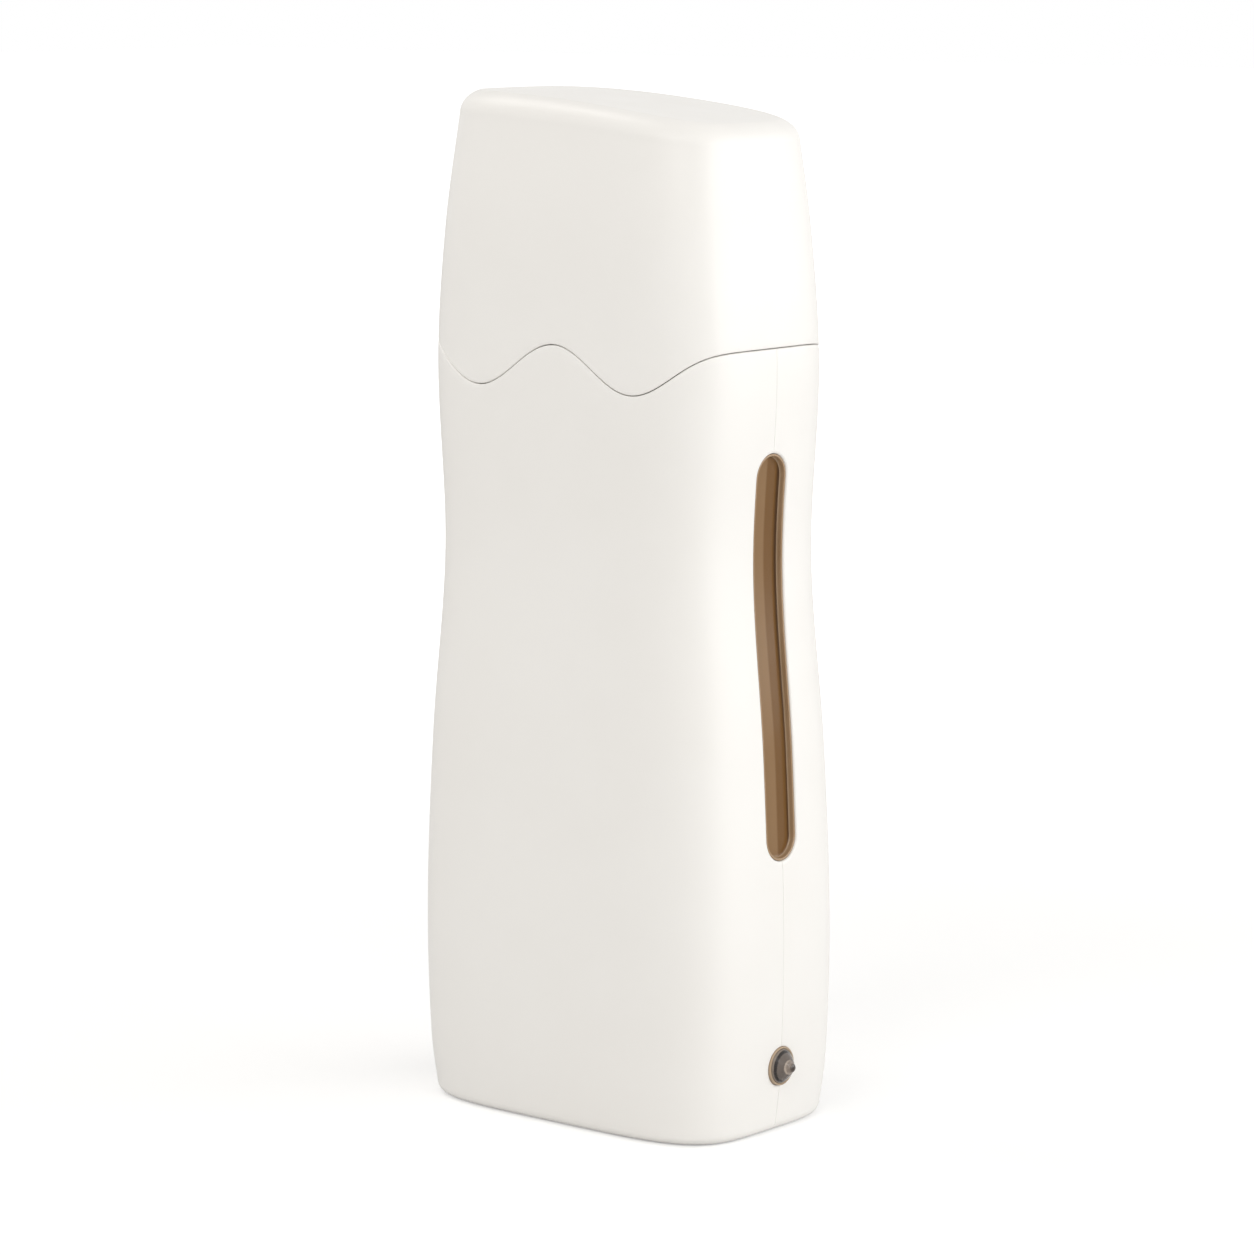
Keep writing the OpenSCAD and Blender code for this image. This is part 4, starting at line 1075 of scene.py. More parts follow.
@dataclass
class Cap:
    """The lift-off cap: walls that carry the outline on, a rolled edge and a top that falls to the right."""

    wardrobe: Wardrobe
    gap: float = 0.16
    wall: float = 2.0
    rim_round: float = 0.3
    top: float = 192.5
    edge_round: float = 4.8
    slope: float = 0.083
    crown: float = 1.1
    rows: int = 44
    roll_turn: float = 72.0
    section: list[tuple[float, float]] = field(default_factory=list)

    def top_line(self, u: float) -> float:
        """Height of the top above its edge level at a place u across."""
        return self.crown * (1 - u * u) - self.slope * u * OUTLINE.half_width(self.top)

    def rim(self, u: float) -> float:
        """Height of the cap's lower rim at a place u across."""
        return OUTLINE.joint_line(u) + self.gap

    def skin(
        self, inset: float, drop: float, radius: float, lift: float, rows: int, turns: int
    ) -> list[Ring]:
        """Rings of one face of the cap, from its rim to the middle of the top.

        Args:
            inset: How far the face is set in from the outline.
            drop: How far it lies under the top.
            radius: Radius of its rolled edge.
            lift: How far above the rim it starts.
            rows: Steps up the wall.
            turns: Steps round the rolled edge.

        Returns:
            The rings in order.
        """
        rings = []
        level = self.top - radius * math.sin(math.radians(self.roll_turn)) - drop
        for row in range(rows):
            ring = []
            for u, v in self.section:
                low = self.rim(u) + lift
                z = low + (level + self.top_line(u) - low) * row / rows
                x, y = u * (OUTLINE.half_width(z) - inset), v * (OUTLINE.half_depth(z) - inset)
                ring.append(place(x, y, z))
            rings.append(ring)
        for k in range(turns + 1):
            turn = math.radians(self.roll_turn * k / turns)
            pull, rise = radius * (1 - math.cos(turn)), radius * math.sin(turn)
            rings.append([self.rolled(u, v, inset + pull, level, rise, 1.0) for u, v in self.section])
        pull = radius * (1 - math.cos(math.radians(self.roll_turn)))
        rise = radius * math.sin(math.radians(self.roll_turn))
        for share in (0.985, 0.9, 0.78, 0.64, 0.5, 0.36, 0.22, 0.09):
            rings.append([self.rolled(u, v, inset + pull, level, rise, share) for u, v in self.section])
        return rings

    def rolled(self, u: float, v: float, inset: float, level: float, rise: float, share: float) -> Vector:
        """A corner of the rolled edge or the top, at a share of the way out from the middle."""
        z = level + self.top_line(u)
        return place(
            u * share * (OUTLINE.half_width(z) - inset),
            v * share * (OUTLINE.half_depth(z) - inset),
            level + rise + self.top_line(u * share),
        )

    def build(self) -> None:
        """Builds and dresses the cap."""
        self.section = OUTLINE.section(64)
        r = self.rim_round
        outside = self.skin(0.0, 0.0, self.edge_round, r, self.rows, 12)
        inside = self.skin(self.wall, self.wall, self.edge_round - self.wall, r, 20, 6)
        rim = []
        for k in range(4, 0, -1):
            turn = math.radians(22.5 * k)
            rim.append(self.rim_ring(r * (1 - math.cos(turn)), r * (1 - math.sin(turn))))
        rim.insert(0, self.rim_ring(self.wall - r, 0.0))
        piece = drawn("cap_shell", inside[::-1] + rim + outside, angle=13.0)
        self.wardrobe.dress(piece, "cap", "shell_white", SHELL_WHITE)
        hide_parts("cap")

    def rim_ring(self, inset: float, lift: float) -> Ring:
        """A ring at the cap's rim."""
        ring = []
        for u, v in self.section:
            z = self.rim(u) + lift
            ring.append(place(u * (OUTLINE.half_width(z) - inset), v * (OUTLINE.half_depth(z) - inset), z))
        return ring


# ---------------------------------------------------------------- window, lamp, inlet


def slot_ring(
    wall: Wall, height: float, reach: float, radius: float, depth: float, flat_at: float | None = None
) -> Ring:
    """A round-ended ring on a side wall.

    Args:
        wall: The side it is on.
        height: Height of its middle.
        reach: Half the distance between its ends' centres.
        radius: Its half-width.
        depth: How far it lies behind the wall's face.
        flat_at: Distance from the middle of its own plane, where it has one.

    Returns:
        The ring's places.
    """
    ring = []
    for along, across, up in slot_corners(reach):
        z = height + along + radius * up
        x = OUTLINE.half_width(z) - depth if flat_at is None else flat_at - depth
        ring.append(place(x if wall is Wall.RIGHT else -x, -radius * across, z))
    return ring


@dataclass
class LevelWindow:
    """The brown window: a tray with a raised rim, let into the slot from inside."""

    wardrobe: Wardrobe
    low: float = 52.4
    high: float = 129.0
    half: float = 4.4
    rim: float = 0.4
    rim_depth: float = 0.25
    floor_depth: float = 1.4
    back_depth: float = 3.4
    flange_depth: float = 2.4
    flange: float = 6.9

    def off_middle(self, spot: Vector, middle: float, reach: float) -> float:
        """Distance of a place from the slot's middle line, in millimetres."""
        y, z = spot.y / MM, spot.z / MM
        return math.hypot(y, z - min(max(z, middle - reach), middle + reach))

    def build(self) -> None:
        """Builds and dresses the window."""
        middle = (self.low + self.high) / 2
        reach = (self.high - self.low) / 2 - self.half - 0.1

        def ring(radius: float, depth: float) -> Ring:
            """A slot at a depth under the right wall's face."""
            return slot_ring(Wall.RIGHT, middle, reach, radius, depth)

        r = 0.15
        profile = [(0.0, self.back_depth), (3.4, self.back_depth), (self.flange - r, self.back_depth)]
        profile += [(self.flange, self.back_depth - r), (self.flange, self.flange_depth)]
        profile += [(self.half, self.flange_depth)]
        for k in range(4):
            turn = math.radians(30 * k)
            profile.append((self.half - r * (1 - math.cos(turn)), self.rim_depth + r * (1 - math.sin(turn))))
        inner = self.half - self.rim
        for k in range(4):
            turn = math.radians(30 * k)
            profile.append((inner + r * (1 - math.sin(turn)), self.rim_depth + r * (1 - math.cos(turn))))
        foot = 0.45
        for k in range(6):
            turn = math.radians(18 * k)
            radius = inner - foot * (1 - math.cos(turn))
            profile.append((radius, self.floor_depth - foot * (1 - math.sin(turn))))
        profile += [(inner * share, self.floor_depth) for share in (0.7, 0.45, 0.2, 0.0)]
        piece = drawn("window_tray", [ring(*step) for step in profile], End.OPEN, End.OPEN)
        self.wardrobe.dress(piece, "housing", "window_brown", WINDOW_BROWN, WINDOW_RIM_PAINTED_LIGHT)
        # Faces of the rim and its wall take the lighter rim finish, painted light against their shade.
        for face in piece.data.polygons:
            away = min(self.off_middle(piece.data.vertices[k].co, middle, reach) for k in face.vertices)
            if away > inner - 0.2:
                face.material_index = 1
        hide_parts("window_lens")


@dataclass
class PilotLamp:
    """The pilot lamp: a smoky cone with a blind bore, in a pale bezel ring."""

    wardrobe: Wardrobe
    height: float = 13.0
    base: float = 3.25
    tip: float = 0.95
    reach: float = 3.2
    rim: float = 0.4
    seat: float = 0.7
    bulge: float = 0.15
    tip_round: float = 0.6
    bore: float = 1.15
    bore_end: float = 1.75
    bezel: float = 3.7

    def ring(self, radius: float, out: float) -> Ring:
        """A circle round the lamp's axis, out from the shell's face."""
        return round_ring((OUTLINE.half_width(self.height) + out, 0.0, self.height), radius, "X", 64)

    def build(self) -> None:
        """Builds and dresses the lens and its bezel."""
        top = self.reach
        cone = []
        for k in range(25):
            t = k / 24
            cone.append(
                (
                    self.base * (1 - t) + self.tip * t,
                    self.rim + (top - self.tip_round - self.rim) * t + self.bulge * 4 * t * (1 - t),
                )
            )
        for k in range(1, 10):
            turn = math.radians(10 * k)
            cone.append((self.tip * math.cos(turn), top - self.tip_round * (1 - math.sin(turn))))
        inside = [(0.05, self.bore_end), (0.9, self.bore_end), (1.07, self.bore_end - 0.03)]
        inside += [(self.bore, self.bore_end - 0.14), (self.bore, -1.7), (2.6, -2.7), (2.6, -7.0)]
        inside += [(3.0, -7.0), (3.0, -self.seat), (self.base, -self.seat)]
        profile = inside + [(self.base, self.rim - 0.1)] + cone[:-1] + [(0.05, top)]
        lens = drawn("lamp_cone", [self.ring(*step) for step in profile])
        self.wardrobe.dress(lens, "housing", "lamp_smoke", LAMP_SMOKE, LAMP_BORE_HIGHLIGHT)
        face_x = OUTLINE.half_width(self.height)
        # Faces on the bore's end take the glowing painted highlight.
        for face in lens.data.polygons:
            spots = [lens.data.vertices[k].co for k in face.vertices]
            if all(math.hypot(s.y / MM, s.z / MM - self.height) < self.bore + 0.02 for s in spots):
                if all(self.bore_end - 0.2 < s.x / MM - face_x < self.bore_end + 0.05 for s in spots):
                    face.material_index = 1
        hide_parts("lamp_lens")
        inner, r = self.base + 0.05, 0.12
        loop = [(inner, self.rim - r), (inner + r, self.rim), (self.bezel - r, self.rim)]
        loop += [(self.bezel, self.rim - r)]
        loop += [(self.bezel, -self.seat), (inner, -self.seat), (inner, self.rim - r)]
        bezel = drawn("lamp_ring", [self.ring(*step) for step in loop], End.OPEN, End.OPEN)
        self.wardrobe.dress(bezel, "housing", "bezel_beige", BEZEL_BEIGE)
        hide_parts("lamp_bezel")
        self.wardrobe.dress_node("lamp_bulb", BULB_GLASS)
        self.wardrobe.dress_node("lamp_nut", NUT_BLACK)
        self.wardrobe.dress_node("lamp_leads", LEAD_GREY)


@dataclass
class MainsInlet:
    """The two-pole mains inlet low on the left side, with its two pins."""

    wardrobe: Wardrobe
    height: float = 17.0
    reach: float = 4.3
    proud: float = 1.1
    half: float = 5.5
    pocket: float = 4.1
    pocket_depth: float = 12.5
    back: float = 15.5
    pin: float = 1.2
    root: float = 1.4
    pin_recess: float = 3.5
    pitch: float = 8.6

    def build(self) -> None:
        """Builds and dresses the inlet's body and its pins."""
        plane = OUTLINE.half_width(self.height) + self.proud

        def ring(radius: float, depth: float) -> Ring:
            """A slot at a depth under the inlet's own flat face."""
            return slot_ring(Wall.LEFT, self.height, self.reach, radius, depth, plane)

        lip = plane - (OUTLINE.half_width(self.height - self.reach - self.half - 1.4) - 2.6)
        r = 0.35
        profile = [(0.0, self.back), (self.half, self.back), (self.half, lip + 1.6)]
        profile += [(self.half + 1.4, lip + 1.6), (self.half + 1.4, lip), (self.half, lip)]
        for k in range(5):
            turn = math.radians(22.5 * k)
            profile.append((self.half - r * (1 - math.cos(turn)), r * (1 - math.sin(turn))))
        for k in range(5):
            turn = math.radians(22.5 * k)
            profile.append((self.pocket + r * (1 - math.sin(turn)), r * (1 - math.cos(turn))))
        profile += [(self.pocket, self.pocket_depth - 0.3), (self.pocket - 0.3, self.pocket_depth)]
        profile += [(0.0, self.pocket_depth)]
        body = drawn("inlet_shroud", [ring(*step) for step in profile], End.OPEN, End.OPEN)
        self.wardrobe.dress(body, "housing", "inlet_black", INLET_BLACK)
        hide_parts("inlet_body")
        pins = [self.contact(self.height + side * self.pitch / 2, plane) for side in (-1, 1)]
        clear_selection()
        for pin in pins:
            pin.select_set(True)
        bpy.context.view_layer.objects.active = pins[0]
        bpy.ops.object.join()
        self.wardrobe.dress(pins[0], "housing", "contact_brass", CONTACT_NICKEL)
        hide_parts("inlet_pins")

    def contact(self, z: float, plane: float) -> bpy.types.Object:
        """One round pin with a domed end and a thicker root."""
        profile = [(0.02, self.pin_recess)]
        for k in range(1, 7):
            turn = math.radians(15 * k)
            profile.append((self.pin * math.sin(turn), self.pin_recess + 0.8 * (1 - math.cos(turn))))
        profile += [(self.pin, self.pocket_depth), (self.root, self.pocket_depth + 0.02)]
        profile += [(self.root, self.back + 5)]
        rings = [round_ring((-(plane - depth), 0.0, z), radius, "X", 32) for radius, depth in profile]
        return drawn("contact_pins", rings)


# ---------------------------------------------------------------- base and fasteners


@dataclass
class Fittings:
    """Screws in the rear counterbores and the four feet."""

    wardrobe: Wardrobe
    heads: tuple[tuple[float, float], ...] = ((27.0, 35.0), (-27.0, 35.0), (12.0, 8.5), (-12.0, 8.5))
    seat: float = 2.55
    head: float = 2.8
    shank: float = 1.5
    length: float = 14.0
    foot: float = 4.0
    foot_height: float = 2.4
    foot_places: tuple[tuple[float, float], ...] = (
        (24.0, 13.5),
        (-24.0, 13.5),
        (24.0, -13.5),
        (-24.0, -13.5),
    )

    def screw(self, x: float, z: float) -> bpy.types.Object:
        """One pan-head screw with a cross recess."""
        profile = [(0.02, self.seat - self.length + 0.1), (0.5, self.seat - self.length + 0.4)]
        turns = 16
        for k in range(turns):
            y = self.seat - self.length + 1.4 + (self.length - 2.6) * k / turns
            pitch = (self.length - 2.6) / turns
            profile += [(self.shank - 0.35, y), (self.shank, y + pitch * 0.45)]
            profile += [(self.shank - 0.35, y + pitch * 0.9)]
        profile += [(self.shank, self.seat - 0.8), (self.shank, self.seat), (self.head, self.seat)]
        for k in range(7):
            turn = math.radians(15 * k)
            profile.append(
                (self.head * math.cos(turn * 0.93) ** 0.6 if k < 6 else 0.6, self.seat + 0.9 + 1.1 * math.sin(turn))
            )
        rings = [round_ring((x, y, z), radius, "Y", 32) for radius, y in profile]
        screw = drawn("case_screw", rings)
        for across, up in ((3.0, 0.75), (0.75, 3.0)):
            clear_selection()
            bpy.ops.mesh.primitive_cube_add(size=1.0)
            blade = bpy.context.object
            with editing(blade):
                bpy.ops.mesh.select_all(action="SELECT")
                bpy.ops.transform.resize(value=(across * MM, 2.2 * MM, up * MM), center_override=(0, 0, 0))
                bpy.ops.transform.translate(value=place(x, self.seat + 2.0, z))
            carve(screw, blade)
        return screw

    def one_foot(self, x: float, y: float) -> bpy.types.Object:
        """One rubber foot with a dished underside and a soft edge."""
        f, h = self.foot, self.foot_height
        profile = [(0.02, 0.35), (2.2, 0.35), (2.6, 0.05), (2.9, 0.0)]
        profile += [(f - 0.5, 0.0), (f - 0.2, 0.12), (f, 0.4)]
        profile += [(f, h - 0.1), (f - 0.1, h), (0.02, h)]
        return drawn("table_foot", [round_ring((x, y, z), radius, "Z", 40) for radius, z in profile])

    def build(self) -> None:
        """Builds and dresses the screws and the feet."""
        for name, slot, finish, node, made in (
            ("case_screws", "screw_steel", SCREW_ZINC, "housing_screws", [self.screw(*at) for at in self.heads]),
            ("table_feet", "foot_rubber", RUBBER, "rubber_feet", [self.one_foot(*at) for at in self.foot_places]),
        ):
            clear_selection()
            for piece in made:
                piece.select_set(True)
            bpy.context.view_layer.objects.active = made[0]
            bpy.ops.object.join()
            made[0].name = name
            self.wardrobe.dress(made[0], "housing", slot, finish)
            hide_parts(node)


def carve(piece: bpy.types.Object, tool: bpy.types.Object) -> None:
    """Cuts a tool's form out of a piece and removes the tool."""
    clear_selection()
    piece.select_set(True)
    bpy.context.view_layer.objects.active = piece
    cut = piece.modifiers.new("cut", "BOOLEAN")
    cut.operation = "DIFFERENCE"
    cut.solver = "EXACT"
    cut.object = tool
    bpy.ops.object.modifier_apply(modifier=cut.name)
    bpy.data.objects.remove(tool)


def join_form(piece: bpy.types.Object, other: bpy.types.Object) -> None:
    """Fuses another form into a piece."""
    clear_selection()
    piece.select_set(True)
    bpy.context.view_layer.objects.active = piece
    fuse = piece.modifiers.new("fuse", "BOOLEAN")
    fuse.operation = "UNION"
    fuse.solver = "EXACT"
    fuse.object = other
    bpy.ops.object.modifier_apply(modifier=fuse.name)
    bpy.data.objects.remove(other)


# ---------------------------------------------------------------- chamber and cartridge


def bar_ring(width: float, depth: float, radius: float, z: float, count: int = 256) -> Ring:
    """A rounded rectangle with evenly spaced corners, from the middle of the front round by the right."""
    flat, deep, arc = width / 2 - radius, depth / 2 - radius, math.pi * radius / 2
    quarter = flat + arc + deep
    ring: Ring = []
    for step in range(count):
        lap, rest = divmod(step * 4 * quarter / count, quarter)
        run = rest if lap % 2 == 0 else quarter - rest
        if run < flat:
            x, y = run, -depth / 2
        elif run < flat + arc:
            turn = (run - flat) / radius
            x, y = flat + radius * math.sin(turn), -deep - radius * math.cos(turn)
        else:
            x, y = width / 2, -(deep - (run - flat - arc))
        sx, sy = ((1, 1), (1, -1), (-1, -1), (-1, 1))[int(lap) % 4]
        ring.append(place(sx * x, sy * y, z))
    return ring


def bar(
    name: str,
    width: float,
    depth: float,
    radius: float,
    profile: Sequence[tuple[float, float]],
    angle: float = 35.0,
) -> bpy.types.Object:
    """A rounded bar or cup drawn through (inset, height) steps, closed flat at both ends."""
    rings = [
        bar_ring(width - 2 * inset, depth - 2 * inset, max(radius - inset, 0.3), z) for inset, z in profile
    ]
    return drawn(name, rings, End.POINT, End.POINT, angle)


@dataclass
class Collar:
    """The collar that the shells clamp and the cap slides over."""

    wardrobe: Wardrobe
    set_in: float = 2.5
    wall: float = 1.6
    web: float = 1.6
    low: float = 134.6
    high: float = 157.0
    opening: tuple[float, float, float] = (54.4, 32.9, 9.7)
    seat: tuple[float, float, float] = (57.3, 35.8, 11.15)

    def ring(self, inset: float, z: float) -> Ring:
        """A ring of the outline's section, set in."""
        return [
            place(u * (OUTLINE.half_width(z) - inset), v * (OUTLINE.half_depth(z) - inset), z)
            for u, v in OUTLINE.section(64)
        ]

    def build(self) -> None:
        """Builds and dresses the collar."""
        rings = [self.ring(self.set_in, self.low + (self.high - 0.8 - self.low) * k / 16) for k in range(17)]
        for k in range(1, 6):
            turn = math.radians(18 * k)
            pull, drop = 0.8 * (1 - math.cos(turn)), 0.8 * (1 - math.sin(turn))
            rings.append(self.ring(self.set_in + pull, self.high - drop))
        w, d, r = self.opening
        lip = 0.6
        for k in range(6):
            turn = math.radians(18 * k)
            grow = lip * (1 - math.sin(turn))
            level = self.high - lip * (1 - math.cos(turn))
            rings.append(bar_ring(w + 2 * grow, d + 2 * grow, r + grow, level))
        rings.append(bar_ring(w, d, r, self.high - self.web))
        w, d, r = self.seat
        rings.append(bar_ring(w, d, r, self.high - self.web))
        rings += [self.ring(self.set_in + self.wall, self.high - self.web - 0.01)]
        rings.append(self.ring(self.set_in + self.wall, self.low))
        rings.append(rings[0])
        piece = drawn("neck_ring", rings, End.OPEN, End.OPEN)
        self.wardrobe.dress(piece, "housing", "collar_white", COLLAR_WHITE)
        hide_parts("neck_collar")


@dataclass
class Cartridge:
    """The roll-on cartridge: clear bottle, wax, snap-on head and roller."""

    wardrobe: Wardrobe
    width: float = 53.0
    depth: float = 31.5
    round: float = 9.0
    stand: float = 53.4
    shoulder: float = 137.4
    neck: float = 146.0
    neck_top: float = 151.0
    neck_size: tuple[float, float, float] = (40.0, 19.0, 6.0)
    wall: float = 1.2
    wax_height: float = 66.0
    axis: float = 168.0
    roller_radius: float = 8.5
    roller_half: float = 20.3
    pin: float = 2.0
    pin_length: float = 2.4
    cheek: float = 2.9
    head_depth: float = 25.0

    def bottle(self) -> bpy.types.Object:
        """The bottle: rounded foot, soft shoulder, open neck and an even wall."""

        def size(inset: float, z: float, share: float) -> Ring:
            """A ring at a height, between the body's size and the neck's."""
            w = self.width + (self.neck_size[0] - self.width) * share
            d = self.depth + (self.neck_size[1] - self.depth) * share
            r = self.round + (self.neck_size[2] - self.round) * share
            return bar_ring(w - 2 * inset, d - 2 * inset, max(r - inset, 0.5), z)

        def skin(inset: float) -> list[Ring]:
            """The rings of one face of the bottle, from its foot to its neck."""
            foot = 2.6 - inset
            rows = [size(inset + 6, self.stand + inset, 0.0)]
            for k in range(7):
                turn = math.radians(15 * k)
                pull, rise = foot * (1 - math.sin(turn)), foot * (1 - math.cos(turn))
                rows.append(size(inset + pull, self.stand + inset + rise, 0.0))
            tall = self.shoulder - self.stand - 4
            rows += [size(inset, self.stand + 4 + tall * k / 24, 0.0) for k in range(25)]
            for k in range(1, 13):
                t = k / 12
                level = self.shoulder + (self.neck - self.shoulder) * t
                rows.append(size(inset, level, t * t * (3 - 2 * t) * 0.9 + t * 0.1))
            rows += [size(inset, z, 1.0) for z in (self.neck + 1.0, self.neck + 3.0, self.neck_top - 0.3)]
            return rows

        outside, inside = skin(0.0), skin(self.wall)
        lip = [size(pull, self.neck_top, 1.0) for pull in (0.3, self.wall - 0.3)]
        return drawn("bottle", outside + lip + inside[::-1])

    def wax(self) -> bpy.types.Object:
        """The wax, with a soft foot and a dished top."""
        gap = self.wall + 0.05
        low, high = self.stand + gap, self.stand + gap + self.wax_height
        profile = [(8.0, low), (3.0, low), (1.9, low + 0.1), (0.9, low + 0.5)]
        profile += [(0.3, low + 1.2), (0.0, low + 2.4)]
        profile += [(0.0, low + 2.4 + (high - low - 2.8) * k / 10) for k in range(1, 11)]
        profile += [(0.2, high), (0.7, high - 0.3), (2.0, high - 0.8), (5.0, high - 1.1), (10.0, high - 1.2)]
        return bar("wax_fill", self.width - 2 * gap, self.depth - 2 * gap, self.round - gap, profile)

    def head(self) -> bpy.types.Object:
        """The head: a rounded block with two cheeks, hollow under the roller."""
        half = self.roller_half + 0.3 + self.cheek
        foot, top = self.neck + 0.3, self.axis - 3.0
        soft = 0.9
        profile = [(0.4, foot), (0.0, foot + 0.4), (0.0, foot + 5.0)]
        profile += [(0.35, foot + 5.3), (0.35, foot + 6.0), (0.0, foot + 6.3)]
        profile += [(0.0, top - soft)]
        for k in range(1, 6):
            turn = math.radians(18 * k)
            profile.append((soft * (1 - math.cos(turn)), top - soft * (1 - math.sin(turn))))
        head = bar("head_block", 2 * half, self.head_depth, 6.0, profile)
        for side in (-1, 1):
            join_form(head, self.one_cheek(side, half))
        trough = drawn(
            "trough",
            [
                round_ring((x, 0.0, self.axis), self.roller_radius + 0.4, "X", 96)
                for x in (-half + self.cheek, half - self.cheek)
            ],
        )
        carve(head, trough)
        w, d, r = self.neck_size
        socket = bar("socket", w + 0.2, d + 0.2, r + 0.1, [(0.0, foot - 1.0), (0.0, foot - 1.0 + 6.2)])
        carve(head, socket)
        feed = bar("feed", 2 * self.roller_half - 6, 7.0, 3.0, [(0.0, foot), (0.0, self.axis)])
        carve(head, feed)
        reach = half - self.cheek + self.pin_length + 0.1
        ends = [round_ring((x, 0.0, self.axis), self.pin + 0.05, "X", 48) for x in (-reach, reach)]
        bore = drawn("bore", ends)
        carve(head, bore)
        finish_faces(head)
        return head

    def one_cheek(self, side: int, half: float) -> bpy.types.Object:
        """One cheek: a rounded ear that tapers up round the roller's axle."""
        low, crest = self.axis - 6.0, 4.0
        outline = [(-self.head_depth / 2 + 5, low), (self.head_depth / 2 - 5, low)]
        tangent = math.radians(62)
        outline += [
            (crest * math.sin(a), self.axis + crest * math.cos(a))
            for a in [tangent - 2 * tangent * k / 24 for k in range(25)]
        ]
        rings = []
        near = half - self.cheek
        for inset, x in ((0.35, near), (0.0, near + 0.35), (0.0, half - 0.5), (0.15, half - 0.15), (0.5, half)):
            middle = self.axis - 1.0
            ring = []
            for y, z in outline:
                reach = math.hypot(y, z - middle)
                share = (reach - inset) / reach
                ring.append(place(side * x, y * share, middle + (z - middle) * share))
            rings.append(ring)
        return drawn("cheek", rings, End.FLAT, End.FLAT)

    def roller(self) -> bpy.types.Object:
        """The roller on its two pins, with soft edges and a fine turned grip."""
        half, r, soft = self.roller_half, self.roller_radius, 0.8
        end = half + self.pin_length
        side = [(0.02, end), (self.pin - 0.3, end), (self.pin, end - 0.3)]
        side += [(self.pin, half), (3.2, half), (3.4, half - 0.5), (r - 2.0, half - 0.5), (r - 1.8, half)]
        for k in range(6):
            turn = math.radians(18 * k)
            side.append((r - soft * (1 - math.sin(turn)), half - soft * (1 - math.cos(turn))))
        barrel = [(r, half - soft - (2 * half - 2 * soft) * k / 20) for k in range(1, 20)]
        profile = side + barrel + [(radius, -x) for radius, x in reversed(side)]
        rings = [round_ring((x, 0.0, self.axis), radius, "X", 96) for radius, x in profile]
        return drawn("wax_roller", rings)

    def build(self) -> None:
        """Builds and dresses the cartridge."""
        bottle = self.wardrobe.dress(self.bottle(), "cartridge", "bottle_clear", BOTTLE_CLEAR)
        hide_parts("cartridge_bottle")
        wax = self.wardrobe.dress(self.wax(), "cartridge", "wax_amber", WAX)
        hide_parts("cartridge_wax")
        head = self.wardrobe.dress(self.head(), "cartridge", "head_white", HEAD_WHITE)
        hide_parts("roller_head")
        roller = self.wardrobe.dress(self.roller(), "roller", "roller_white", ROLLER_WHITE)
        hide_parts("roller")


@dataclass
class Works:
    """The heated chamber and the wiring, which keep their CAD forms."""

    wardrobe: Wardrobe

    def build(self) -> None:
        """Dresses the nodes that stay."""
        for node, finish in {
            "chamber_liner": LINER_GREY,
            "heat_plate": PLATE_ALUMINIUM,
            "ptc_heater": CERAMIC,
            "ptc_clip": SPRING_STEEL,
            "thermal_fuse": FUSE_TAN,
            "thermostat": SPRING_STEEL,
            "plate_screws": SCREW_ZINC,
            "control_board": BOARD_GREEN,
            "board_components": COMPONENT,
            "board_screws": SCREW_ZINC,
            "live_lead": LEAD_BROWN,
            "neutral_lead": LEAD_BLUE,
            "switched_lead": LEAD_RED,
            "heater_lead": LEAD_RED,
            "return_lead": LEAD_BLUE,
        }.items():
            self.wardrobe.dress_node(node, finish)


# ---------------------------------------------------------------- studio


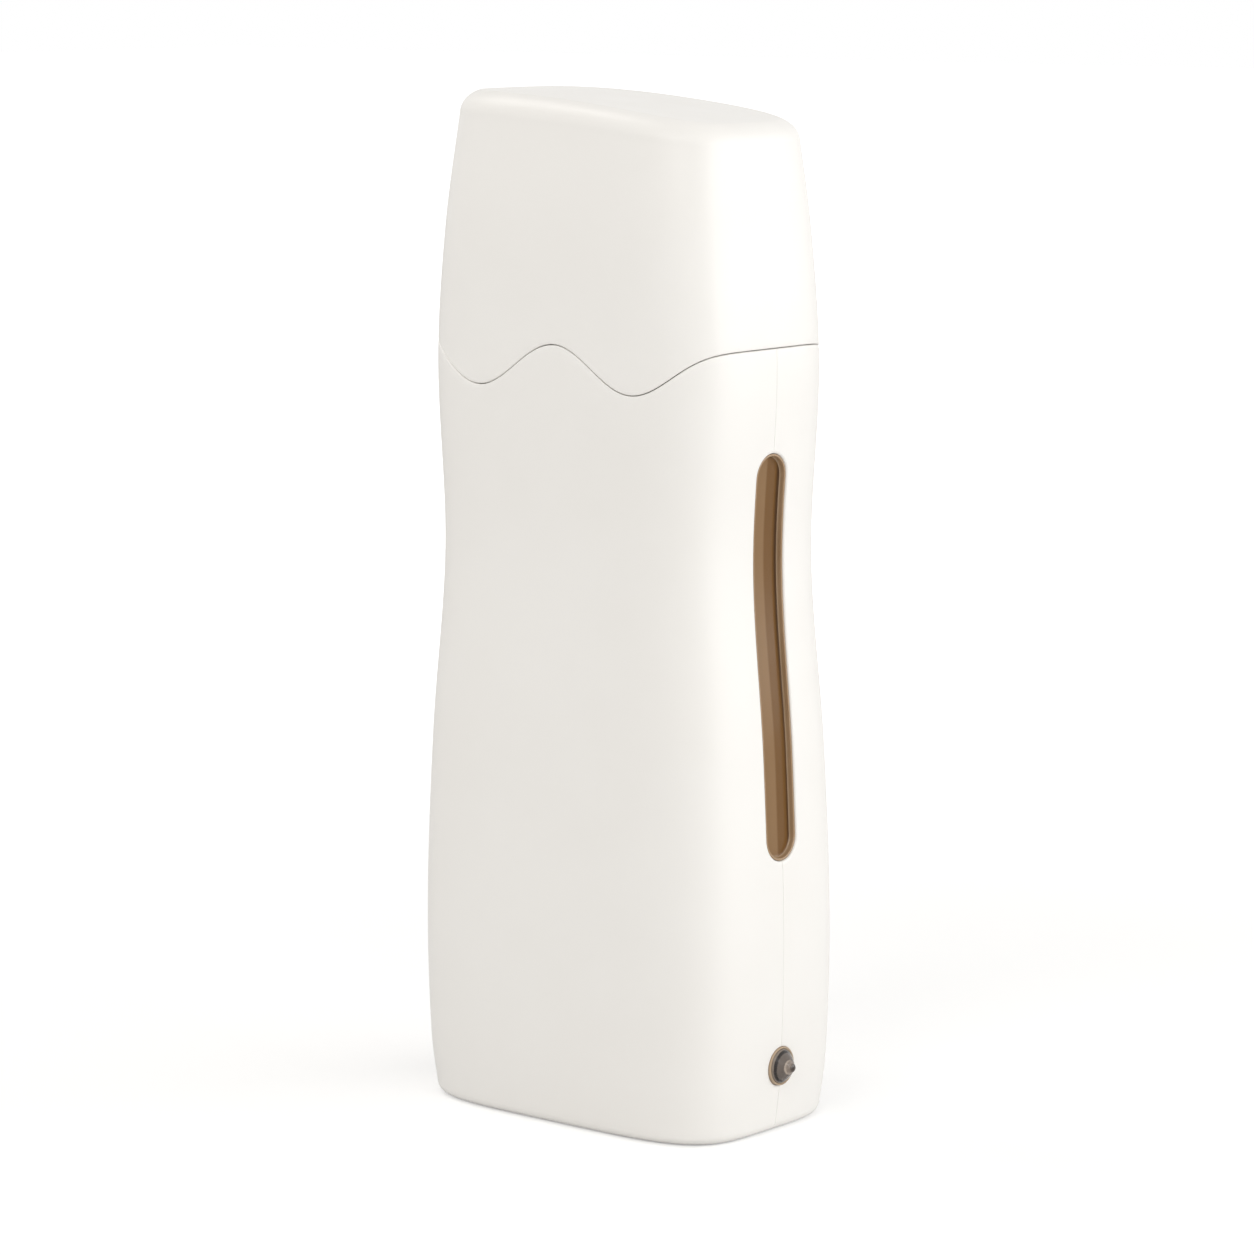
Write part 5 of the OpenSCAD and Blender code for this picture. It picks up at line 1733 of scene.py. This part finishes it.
@dataclass
class Studio:
    """The pale floor, the soft lights and the camera."""

    target: tuple[float, float, float] = (0.0, 0.0, 0.12)
    camera_at: tuple[float, float, float] = (0.53784, -0.65338, 0.22344)
    azimuth: float = 39.458
    pitch: float = 8.757
    lens: float = 128.53

    def floor(self) -> None:
        """A wide floor that keeps the object's shadow and reads white to the camera."""
        clear_selection()
        bpy.ops.mesh.primitive_plane_add(size=12.0)
        floor = bpy.context.object
        floor.name = "floor"
        shader = Shader("studio floor").set(Roughness=1.0, Specular_IOR_Level=0.0)
        paper = shader.spread(shader.noise(4.0, 1.0), 0.3, 0.7, 0.0, 1.0)
        shader.feed("Base Color", shader.blend(paper, (0.82, 0.82, 0.82), (0.80, 0.80, 0.80)))
        seen = shader.nodes.new("ShaderNodeLightPath").outputs["Is Camera Ray"]
        shader.set(Emission_Color=(1.0, 1.0, 1.0, 1.0))
        away = shader.nodes.new("ShaderNodeVectorMath")
        away.operation = "LENGTH"
        shader.links.new(shader.coordinates, away.inputs[0])
        lift = shader.spread(away.outputs["Value"], 0.15, 0.9, 0.31, 1.0)
        shader.feed("Emission Strength", shader.math("MULTIPLY", seen, lift))
        floor.data.materials.append(shader.material)

    def world(self) -> None:
        """Soft light all round, with a white background for the camera, gloss and clear plastic."""
        world = bpy.context.scene.world or bpy.data.worlds.new("studio")
        bpy.context.scene.world = world
        world.use_nodes = True
        nodes, links = world.node_tree.nodes, world.node_tree.links
        nodes.clear()
        path = nodes.new("ShaderNodeLightPath")
        both = path.outputs["Is Camera Ray"]
        for other in ("Is Glossy Ray", "Is Transmission Ray"):
            add = nodes.new("ShaderNodeMath")
            add.operation = "MAXIMUM"
            links.new(both, add.inputs[0])
            links.new(path.outputs[other], add.inputs[1])
            both = add.outputs["Value"]
        soft, white = nodes.new("ShaderNodeBackground"), nodes.new("ShaderNodeBackground")
        soft.inputs["Color"].default_value = (1.0, 0.985, 0.96, 1.0)
        soft.inputs["Strength"].default_value = 0.50
        white.inputs["Strength"].default_value = 1.0
        white.inputs["Color"].default_value = (1.0, 1.0, 1.0, 1.0)
        mix = nodes.new("ShaderNodeMixShader")
        out = nodes.new("ShaderNodeOutputWorld")
        links.new(both, mix.inputs["Fac"])
        links.new(soft.outputs["Background"], mix.inputs[1])
        links.new(white.outputs["Background"], mix.inputs[2])
        links.new(mix.outputs["Shader"], out.inputs["Surface"])

    def lamp(
        self,
        name: str,
        azimuth: float,
        elevation: float,
        distance: float,
        size: tuple[float, float],
        power: float,
        tint: Colour,
    ) -> None:
        """A soft lamp that looks at the object.

        Args:
            name: Its name.
            azimuth: Degrees round from the front towards the right.
            elevation: Degrees above the table.
            distance: Metres from the object's middle.
            size: Width and height in metres.
            power: Watts.
            tint: Its colour.
        """
        a, e = math.radians(azimuth), math.radians(elevation)
        away = Vector((math.sin(a) * math.cos(e), -math.cos(a) * math.cos(e), math.sin(e)))
        spot = Vector(self.target) + away * distance
        clear_selection()
        bpy.ops.object.light_add(type="AREA", location=spot, rotation=away.to_track_quat("Z", "Y").to_euler())
        lamp = bpy.context.object
        lamp.name = name
        lamp.data.shape = "RECTANGLE"
        lamp.data.size, lamp.data.size_y = size
        lamp.data.energy = power
        lamp.data.color = tint

    def camera(self) -> None:
        """The camera where the photograph was taken from."""
        clear_selection()
        turn = (math.radians(90 - self.pitch), 0.0, math.radians(self.azimuth))
        bpy.ops.object.camera_add(location=self.camera_at, rotation=turn)
        camera = bpy.context.object
        camera.data.lens = self.lens
        camera.data.sensor_width = 36.0
        camera.data.clip_start = 0.01
        bpy.context.scene.camera = camera

    def build(self) -> None:
        """Sets up floor, lights and camera."""
        self.floor()
        self.world()
        self.lamp("main", 7.0, 27.0, 1.6, (1.1, 1.1), 7.6, (1.0, 0.985, 0.965))
        self.lamp("corner", 52.0, 42.0, 1.6, (0.9, 0.9), 2.0, (1.0, 0.99, 0.98))
        self.lamp("side", 115.0, 9.0, 1.4, (1.9, 1.2), 16.2, (0.98, 0.985, 0.99))
        self.lamp("crown", -76.0, 50.0, 1.6, (0.7, 0.7), 4.6, (1.0, 0.985, 0.965))
        self.camera()
        scene = bpy.context.scene
        scene.view_settings.view_transform = "Standard"


# ---------------------------------------------------------------- the whole


def main() -> None:
    """Builds every sub-assembly in order and reports each piece."""
    logging.basicConfig(level=logging.INFO, format="%(message)s")
    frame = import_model()
    wardrobe = Wardrobe(frame)
    Housing(wardrobe).build()
    Cap(wardrobe).build()
    LevelWindow(wardrobe).build()
    PilotLamp(wardrobe).build()
    MainsInlet(wardrobe).build()
    Fittings(wardrobe).build()
    Collar(wardrobe).build()
    Cartridge(wardrobe).build()
    Works(wardrobe).build()
    Studio().build()


if __name__ == "__main__":
    main()
